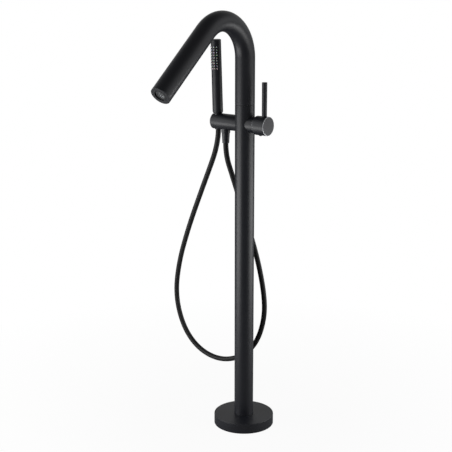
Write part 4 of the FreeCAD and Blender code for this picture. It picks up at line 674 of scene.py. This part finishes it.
class FILLER_OT_column(FillerOperator, bpy.types.Operator):
    """Round column from the floor plate to the seam"""

    bl_idname = "filler.column"
    bl_label = "Column"

    def execute(self, context):
        size = sizes()
        inner = COLUMN_R - size.wall
        corners = [
            (inner, COLUMN_LOW),
            (COLUMN_R, COLUMN_LOW),
            (COLUMN_R, COLUMN_TOP),
            (inner, COLUMN_TOP),
        ]
        profile = rounded(corners, [size.fine_edge, size.fine_edge, size.edge, size.fine_edge])
        path = straight((0, 0, 0), (0, 0, 1))
        turned_piece("column_tube", stepped(profile, 40 * MM), path, "stand", "matte_black", "column")
        return {"FINISHED"}


AERATOR_DEPTH = 11.0 * MM
AERATOR_WALL = 2.0 * MM
AERATOR_PROUD = 1.0 * MM
AERATOR_LIP = 1.2 * MM


class FILLER_OT_spout(FillerOperator, bpy.types.Operator):
    """Bent spout and the insert in its mouth"""

    bl_idname = "filler.spout"
    bl_label = "Spout"

    def execute(self, context):
        size = sizes()
        inner = COLUMN_R - size.wall
        bend_z = SPOUT_TOP - size.bend_radius - COLUMN_R
        path = bent(SPOUT_LOW, bend_z, size.bend_radius, size.bend_angle)
        end = bend_z - SPOUT_LOW + size.bend_radius * size.bend_angle + size.spout_run
        corners = [(inner, 0), (COLUMN_R, 0), (COLUMN_R, end), (inner, end)]
        profile = rounded(corners, [size.fine_edge, size.edge, size.edge, size.fine_edge])
        turned_piece("spout_tube", stepped(profile, 4 * MM), path, "spout", "matte_black", "spout")
        self.mouth(size, path, end, inner)
        return {"FINISHED"}

    def mouth(self, size, path, end, inner):
        aerator = width("aerator_housing", X) / 2
        floor = end - size.recess
        seat = floor - AERATOR_DEPTH
        corners = [
            (inner - size.fine_edge * 0.3, end - size.mouth_length),
            (inner - size.fine_edge * 0.3, end),
            (size.recess_radius, end),
            (size.recess_radius, floor),
            (aerator, floor),
            (aerator, seat),
            (size.hose_bore, seat),
            (size.hose_bore, end - size.mouth_length),
        ]
        radii = np.full(len(corners), size.fine_edge)
        radii[2] = size.edge
        radii[3] = size.edge
        turned_piece("mouth_ring", rounded(corners, radii), path, "spout", "matte_black", "spout_mouth")
        bore = aerator - AERATOR_WALL
        face = floor + AERATOR_PROUD
        corners = [
            (bore, seat),
            (aerator, seat),
            (aerator, face),
            (bore - AERATOR_LIP, face),
            (bore - AERATOR_LIP, face - AERATOR_PROUD),
            (bore, face - AERATOR_PROUD),
        ]
        radii = np.full(len(corners), size.fine_edge)
        radii[2] = size.edge
        turned_piece(
            "aerator_cup", rounded(corners, radii), path, "spout", "black_plastic", "aerator_housing"
        )
        mesh = cleaned_copy("aerator_grid", "aerator_mesh")
        piece("aerator_mesh", mesh, "spout", "grey_plastic", "aerator_grid")


LEVER_TAPER = 0.962  # width of the lever's foot against its top


class FILLER_OT_lever_side(FillerOperator, bpy.types.Operator):
    """Cartridge housing, handle cap, lever and the plug under the cap"""

    bl_idname = "filler.lever_side"
    bl_label = "Lever side"

    def execute(self, context):
        size = sizes()
        along_bar = straight((0, 0, BAR_Z), (1, 0, 0))
        self.housing(size, along_bar)
        self.cap(size, along_bar)
        self.lever(size)
        return {"FINISHED"}

    def housing(self, size, path):
        end = span("cartridge_housing", X)[1]
        bore = size.cartridge_bore
        thread = bore + size.nut_wall
        corners = [
            (bore, COLUMN_R / 3),
            (BAR_R, COLUMN_R / 3),
            (BAR_R, end),
            (thread, end),
            (thread, end - size.nut_thread),
            (bore, end - size.nut_thread),
        ]
        radii = np.full(len(corners), size.fine_edge)
        radii[2] = size.cap_edge
        profile = stepped(rounded(corners, radii), 6 * MM)
        mesh = mesh_of("housing_tube", [coped(carried(profile, path, 144), COLUMN_R, 1)], True)
        piece("housing_tube", mesh, "stand", "matte_black", "cartridge_housing")

    def cap(self, size, path):
        floor = CAP_START + size.cap_cavity
        skirt = CAP_R - size.cap_wall
        corners = [
            (0, floor),
            (skirt, floor),
            (skirt, CAP_START),
            (CAP_R, CAP_START),
            (CAP_R, CAP_END),
            (0, CAP_END),
        ]
        profile = rounded(corners, [size.edge, size.fine_edge, size.cap_edge, size.cap_edge], False)
        # Painted glint: the cap's outer chamfers, on its face and at its seam with the housing, are given
        # bare steel colour and metal to catch bright glints.
        painted_glint = (profile.points[:, 0] > skirt) & (profile.mark > 0)
        profile.mark[painted_glint] += PAINTED_GLINT_MARK
        turned_piece("cap", profile, path, "handle", "matte_black", "handle_cap", turns=144)

    def lever(self, size):
        top = span("lever_pin", Z)[1]
        tip = width("lever_pin", X) / 2
        foot_r = tip * LEVER_TAPER
        stud_end = span("lever_pin", Z)[0]
        foot = stud_end + size.lever_stud_length
        corners = [
            (0, stud_end),
            (size.lever_stud, stud_end),
            (size.lever_stud, foot),
            (foot_r, foot),
            (tip, top),
            (0, top),
        ]
        radii = [size.edge, size.fine_edge, size.edge, size.lever_top]
        profile = rounded(corners, radii, False)
        path = straight((middle("lever_pin", X), 0, 0), (0, 0, 1))
        turned_piece("lever", profile, path, "handle", "matte_black", "lever_pin", turns=48)
        low, high = span("screw_plug", Z)
        plug_r = width("screw_plug", X) / 2
        corners = [(0, -high), (plug_r, -high), (plug_r, -low), (0, -low)]
        path = straight((middle("screw_plug", X), 0, 0), (0, 0, -1))
        profile = rounded(corners, [size.fine_edge, size.plug_crown], False)
        turned_piece("plug", profile, path, "handle", "matte_black", "screw_plug", turns=48)


class FILLER_OT_holder(FillerOperator, bpy.types.Operator):
    """Handset arm with its outlet boss and slotted holder, edges softened by the coat"""

    bl_idname = "filler.holder"
    bl_label = "Handset arm"

    def execute(self, context):
        mesh = cleaned_copy("holder_bar", "holder_arm")
        obj = piece("holder_arm", mesh, "stand", "matte_black", "holder_bar")
        soften(obj, sizes().edge)
        return {"FINISHED"}


# Width of a nozzle's tip and rounding of its rim, as shares of its radius.
NOZZLE_TAPER, NOZZLE_CROWN = 0.92, 0.35


class FILLER_OT_handset(FillerOperator, bpy.types.Operator):
    """Hand shower: foot ring and silicone nozzles in the shell's holes"""

    bl_idname = "filler.handset"
    bl_label = "Handset"

    def execute(self, context):
        size = sizes()
        path = lean_path(size)
        self.foot_ring(size, path)
        self.nozzles(size, path)
        return {"FINISHED"}

    def foot_ring(self, size, path):
        start = size.handset_start
        shoulder = start + size.handset_bevel
        inside = size.handset_top_radius - size.handset_wall
        corners = [
            (size.nipple_radius, start),
            (size.handset_radius - size.handset_bevel_in, start),
            (size.handset_radius, shoulder),
            (inside, shoulder),
            (inside, shoulder + size.foot_plug),
            (size.nipple_radius, shoulder + size.foot_plug),
        ]
        radii = np.full(len(corners), size.fine_edge)
        radii[1] = size.edge
        radii[2] = size.edge
        profile = rounded(corners, radii)
        turned_piece("handset_foot", profile, path, "handset", "matte_black", "handset_foot_ring", turns=64)

    def nozzles(self, size, path):
        """A sleeve, and one nozzle of it carried to each row and column by turning round the handset."""
        out = size.handset_top_radius - size.handset_wall
        last = size.handset_start + size.handset_length - size.nozzle_inset
        first = last - size.nozzle_pitch * (size.nozzle_rows - 1)
        low = first - size.mat_reach
        high = last + size.mat_reach
        back = out - size.mat_wall
        sleeve = rounded([(back, low), (out, low), (out, high), (back, high)], size.fine_edge)
        hole_floor = size.handset_top_radius
        tip = hole_floor + size.nozzle_proud
        root = (back + out) / 2
        corners = [
            (0, root),
            (size.nozzle_radius, root),
            (size.nozzle_radius * NOZZLE_TAPER, tip),
            (size.nozzle_hole, tip),
            (size.nozzle_hole, hole_floor),
            (0, hole_floor),
        ]
        radii = [size.fine_edge, size.nozzle_radius * NOZZLE_CROWN, size.fine_edge, size.fine_edge / 2]
        nozzle = carried(rounded(corners, radii, False, 5), straight((0, 0, 0), (0, -1, 0)), 20)
        heights = np.linspace(first, last, size.nozzle_rows)
        angles = np.linspace(-size.nozzle_fan / 2, size.nozzle_fan / 2, size.nozzle_columns)
        centre, across, other, axis = path(heights)
        grids = []
        for angle in angles:
            ahead = math.cos(angle) * other[0] + math.sin(angle) * across[0]
            turn = np.stack([np.cross(axis[0], ahead), -ahead, axis[0]])
            points, normals, mark = nozzle
            grids += [(points @ turn + at, normals @ turn, mark) for at in centre]
        mesh = mesh_of("nozzles", grids, False)
        piece("nozzles", mesh, "handset", "silicone")
        turned_piece("nozzle_sleeve", sleeve, path, "handset", "silicone", "nozzle_mat", turns=48)


def lean_path(size):
    """The handset's axis, measured from the bar's axis."""
    return straight((HOLDER_X, 0, BAR_Z), (0, -math.sin(size.lean), math.cos(size.lean)))


# Route of the hose: the corners of its runs, in metres, from the outlet nut to the hose cone.
HOSE_ROUTE = [
    (-0.0500, 0.0140, 0.6660),
    (-0.0340, 0.0350, 0.5800),
    (0.0045, 0.0460, 0.4620),
    (0.0305, 0.0460, 0.3620),
    (0.0347, 0.0450, 0.2900),
    (0.0108, 0.0430, 0.2140),
    (-0.0380, 0.0405, 0.1630),
    (-0.1110, 0.0380, 0.1370),
    (-0.1880, 0.0380, 0.1520),
    (-0.2432, 0.0370, 0.2060),
    (-0.2685, 0.0345, 0.2960),
    (-0.2506, 0.0300, 0.3960),
    (-0.2094, 0.0240, 0.5030),
    (-0.1560, 0.0145, 0.6120),
    (-0.1192, 0.0080, 0.6840),
    (-0.0977, 0.0040, 0.7285),
]
HOSE_FIRST_RUN = 31.0 * MM
HOSE_LAST_RUN = 14.0 * MM
HOSE_GAP = 0.3 * MM


def spline_line(name, corners):
    """Points of the smooth line that has the corners as its control points."""
    curve = bpy.data.curves.new(name, "CURVE")
    curve.dimensions = "3D"
    curve.resolution_u = 24
    spline = curve.splines.new("NURBS")
    spline.points.add(len(corners) - 1)
    spline.points.foreach_set("co", np.column_stack([corners, np.ones(len(corners))]).ravel())
    spline.order_u = 3
    spline.use_endpoint_u = True
    holder = bpy.data.objects.new(name, curve)
    mesh = bpy.data.meshes.new_from_object(holder)
    line = np.empty(len(mesh.vertices) * 3)
    mesh.vertices.foreach_get("co", line)
    bpy.data.objects.remove(holder)
    bpy.data.meshes.remove(mesh)
    return line.reshape(-1, 3)


class FILLER_OT_hose(FillerOperator, bpy.types.Operator):
    """Free hose from the outlet to the handset, with the nut and the cone on its ends"""

    bl_idname = "filler.hose"
    bl_label = "Hose"

    def execute(self, context):
        size = sizes()
        nuts = self.nuts(size)
        nut_low = span("hose_nut_outlet", Z)[0]
        start = np.array([OUTLET_X, 0, nut_low])
        axis = np.array([0, -math.sin(size.lean), math.cos(size.lean)])
        end = np.array([HOLDER_X, 0, BAR_Z]) - axis * (size.cone_drop + HOSE_GAP)
        first = start - np.array([0, 0, HOSE_FIRST_RUN])
        corners = np.vstack([start, first, HOSE_ROUTE, end - axis * HOSE_LAST_RUN, end])
        line = spline_line("hose_line", corners)
        reach = np.linalg.norm(np.diff(line, axis=0), axis=1).sum()
        section = [(0, 0), (size.hose_radius, 0), (size.hose_radius, reach), (0, reach)]
        profile = stepped(rounded(section, size.fine_edge, False), 3 * MM)
        mesh = mesh_of("hose_tube", [carried(profile, along(line), 28)], False)
        tube = piece("hose_tube", mesh, None, "hose_black", "hose")
        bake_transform(tube)
        return {"FINISHED"}

    def nuts(self, size):
        low, high = span("hose_nut_outlet", Z)
        top_r = width("hose_nut_outlet", X) / 2
        corners = [
            (size.nut_bore, 0),
            (size.nut_low_radius, 0),
            (top_r, high - low),
            (size.nipple_radius, high - low),
            (size.nipple_radius, high - low - size.nipple_depth),
            (size.nut_bore, high - low - size.nipple_depth),
        ]
        radii = np.full(len(corners), size.fine_edge)
        radii[1] = size.cap_edge
        radii[2] = size.edge
        path = straight((OUTLET_X, 0, low), (0, 0, 1))
        nut = turned_piece("outlet_nut", rounded(corners, radii), path, "stand", "matte_black",
                           "hose_nut_outlet", turns=64)
        corners = [
            (size.nut_bore, -size.cone_drop),
            (size.cone_low_radius, -size.cone_drop),
            (size.cone_top_radius, size.cone_top),
            (size.nipple_radius, size.cone_top),
            (size.nipple_radius, size.cone_top - size.nipple_depth),
            (size.nut_bore, size.cone_top - size.nipple_depth),
        ]
        cone = turned_piece("hose_cone", rounded(corners, radii), lean_path(size), "hose_end", "matte_black",
                            "hose_nut_handset", turns=64)
        return [nut, cone]


BUSH_SHARE = 0.76  # bush against its flange
STEM_SHARE = 0.2  # radius of the stem's way against the width of its spool


class FILLER_OT_diverter(FillerOperator, bpy.types.Operator):
    """Diverter behind the column: flange and pull knob"""

    bl_idname = "filler.diverter"
    bl_label = "Diverter"

    def execute(self, context):
        size = sizes()
        path = straight((0, 0, BAR_Z), (0, 1, 0))
        start, end = span("diverter_knob", Y)
        knob_r = width("diverter_knob", X) / 2
        dish = size.rim
        floor = end - dish / 2
        corners = [
            (0, start),
            (knob_r, start),
            (knob_r, end),
            (knob_r - 3 * dish, end),
            (knob_r - 4 * dish, floor),
            (0, floor),
        ]
        radii = [size.cap_edge, size.cap_edge, size.edge, size.edge]
        turned_piece("knob", rounded(corners, radii, False), path, "diverter", "matte_black",
                     "diverter_knob", turns=72)
        inside, out = span("diverter_bush", Y)
        flange_r = width("diverter_bush", X) / 2
        bush_r = flange_r * BUSH_SHARE
        stem = width("diverter_stem", Z) * STEM_SHARE
        corners = [
            (stem, inside),
            (bush_r, inside),
            (bush_r, COLUMN_R - size.wall),
            (flange_r, COLUMN_R - size.wall),
            (flange_r, out),
            (stem, out),
        ]
        radii = np.full(len(corners), size.fine_edge)
        radii[4] = size.cap_edge
        profile = rounded(corners, radii)
        turned_piece("flange", profile, path, "stand", "matte_black", "diverter_bush", turns=72)
        return {"FINISHED"}


# ---------------------------------------------------------------- studio
CAMERA_AT = (1.56691, -2.06433, 1.18822)
CAMERA_RIGHT = (0.78539, 0.61900, -0.00046)
CAMERA_UP = (-0.14912, 0.18993, 0.97041)
CAMERA_BACK = (0.60077, -0.76208, 0.24147)
LENS = 82.56
# Distances from the foot, in metres, over which the floor's glow grows to the backdrop's.
FADE_START, FADE_END = 0.25, 1.1
# Heights of a direction, as its Z, between which the mirrored room falls from wall to ceiling.
WALL_TOP, CEILING = 0.3, 0.85
# Softboxes left and right of the object, a low and a high one on each side, and their sizes.
LEFT_AT, HIGH_AT = (-0.718, -0.961, 0.31), (-0.718, -0.961, 1.25)
RIGHT_AT, BACK_AT = (1.004, 0.658, 0.31), (1.004, 0.658, 1.25)
LOW_BOX, HIGH_BOX = (1.2, 0.6), (1.2, 1.2)
FLOOR_HALF = 30.0


class FILLER_OT_studio(FillerOperator, bpy.types.Operator):
    """Pale floor, white backdrop, soft lights and the camera"""

    bl_idname = "filler.studio"
    bl_label = "Studio"

    def execute(self, context):
        look = finish_settings()
        scene = context.scene
        scene.view_settings.view_transform = "Standard"
        self.camera(scene)
        self.floor(look)
        self.backdrop(scene, look)
        lights = (
            ("left_box", look.left_power, LEFT_AT, LOW_BOX),
            ("right_box", look.right_power, RIGHT_AT, LOW_BOX),
            ("high_box", look.high_power, HIGH_AT, HIGH_BOX),
            ("back_box", look.back_power, BACK_AT, HIGH_BOX),
        )
        for name, power, at, extent in lights:
            self.softbox(name, power, at, extent)
        return {"FINISHED"}

    def camera(self, scene):
        data = bpy.data.cameras.new("camera")
        data.lens = LENS
        data.sensor_width = 36.0
        camera = bpy.data.objects.new("camera", data)
        scene.collection.objects.link(camera)
        turn = Matrix([CAMERA_RIGHT, CAMERA_UP, CAMERA_BACK]).transposed().to_4x4()
        camera.matrix_world = Matrix.Translation(CAMERA_AT) @ turn
        scene.camera = camera

    def seen(self, recipe, mirrored=1.0):
        """1 for rays from the camera, and the share given for mirrored and clear rays."""
        camera, glossy, clear = [
            recipe.add("ShaderNodeLightPath", out=name)
            for name in ("Is Camera Ray", "Is Glossy Ray", "Is Transmission Ray")
        ]
        return (camera + (glossy + clear) * mirrored).maths("MINIMUM", 1.0)

    def floor(self, look):
        corners = FLOOR_HALF * np.array([(-1, -1, 0), (1, -1, 0), (1, 1, 0), (-1, 1, 0)], float)
        mesh = bpy.data.meshes.new("floor")
        mesh.from_pydata(corners.tolist(), [], [(0, 1, 2, 3)])
        floor = bpy.data.objects.new("floor", mesh)
        bpy.context.scene.collection.objects.link(floor)
        material = bpy.data.materials.new("studio_floor")
        recipe = Recipe(material)
        matt = recipe.add("ShaderNodeBsdfDiffuse", None, {"Color": (*look.floor, 1.0)})
        glow = recipe.add("ShaderNodeEmission", None, {"Color": (1, 1, 1, 1), "Strength": look.backdrop})
        away = recipe.add("ShaderNodeVectorMath", {"operation": "LENGTH"}, {0: recipe.place()}, "Value")
        fade = recipe.add("ShaderNodeMapRange", {"clamp": True}, {
            "Value": away, "From Min": FADE_START, "From Max": FADE_END,
            "To Min": look.floor_glow, "To Max": 1.0,
        })
        factor = fade * self.seen(recipe, look.floor_mirror)
        both = recipe.add("ShaderNodeMixShader", None, {0: factor, 1: matt, 2: glow})
        recipe.add("ShaderNodeOutputMaterial", None, {"Surface": both})
        mesh.materials.append(material)

    def backdrop(self, scene, look):
        world = scene.world or bpy.data.worlds.new("studio")
        scene.world = world
        recipe = Recipe(world)
        where = recipe.add("ShaderNodeTexCoord", out="Generated")
        height = recipe.add("ShaderNodeSeparateXYZ", None, {0: where}, "Z")
        mirror = recipe.add("ShaderNodeMapRange", {"clamp": True}, {
            "Value": height, "From Min": WALL_TOP, "From Max": CEILING,
            "To Min": look.backdrop_mirror, "To Max": look.ceiling_mirror,
        })
        strength = self.seen(recipe, mirror) * (look.backdrop - look.room) + look.room
        light = recipe.add("ShaderNodeBackground", None, {"Color": (1, 1, 1, 1), "Strength": strength})
        recipe.add("ShaderNodeOutputWorld", None, {"Surface": light})

    def softbox(self, name, power, at, extent):
        data = bpy.data.lights.new(name, "AREA")
        data.shape = "RECTANGLE"
        data.size, data.size_y = extent
        data.energy = power
        box = bpy.data.objects.new(name, data)
        bpy.context.scene.collection.objects.link(box)
        back = unit(np.array(at) - np.array([0, 0, at[Z]]))
        across = unit(np.cross([0, 0, 1], back))
        up = np.cross(back, across)
        turn = Matrix([across, up, back]).transposed().to_4x4()
        box.matrix_world = Matrix.Translation(at) @ turn


OPERATORS = (
    FILLER_OT_kept_parts,
    FILLER_OT_foot,
    FILLER_OT_column,
    FILLER_OT_spout,
    FILLER_OT_lever_side,
    FILLER_OT_holder,
    FILLER_OT_handset,
    FILLER_OT_hose,
    FILLER_OT_diverter,
    FILLER_OT_studio,
)


class FILLER_PT_panel(bpy.types.Panel):
    """Operators and settings of the bath filler"""

    bl_idname = "FILLER_PT_panel"
    bl_label = "Bath Filler"
    bl_space_type = "VIEW_3D"
    bl_region_type = "UI"
    bl_category = "Bath Filler"

    def draw(self, context):
        for operator in OPERATORS:
            self.layout.operator(operator.bl_idname)
        for group in (context.scene.filler_sizes, context.scene.filler_finish):
            column = self.layout.column()
            for name in group.__annotations__:
                column.prop(group, name)


CLASSES = (FillerSizes, FillerFinish, *OPERATORS, FILLER_PT_panel)


def register():
    for cls in CLASSES:
        bpy.utils.register_class(cls)
    bpy.types.Scene.filler_sizes = PointerProperty(type=FillerSizes)
    bpy.types.Scene.filler_finish = PointerProperty(type=FillerFinish)


def unregister():
    del bpy.types.Scene.filler_finish
    del bpy.types.Scene.filler_sizes
    for cls in reversed(CLASSES):
        bpy.utils.unregister_class(cls)


def main():
    register()
    for operator in OPERATORS:
        group, name = operator.bl_idname.split(".")
        getattr(getattr(bpy.ops, group), name)()


if __name__ == "__main__":
    main()
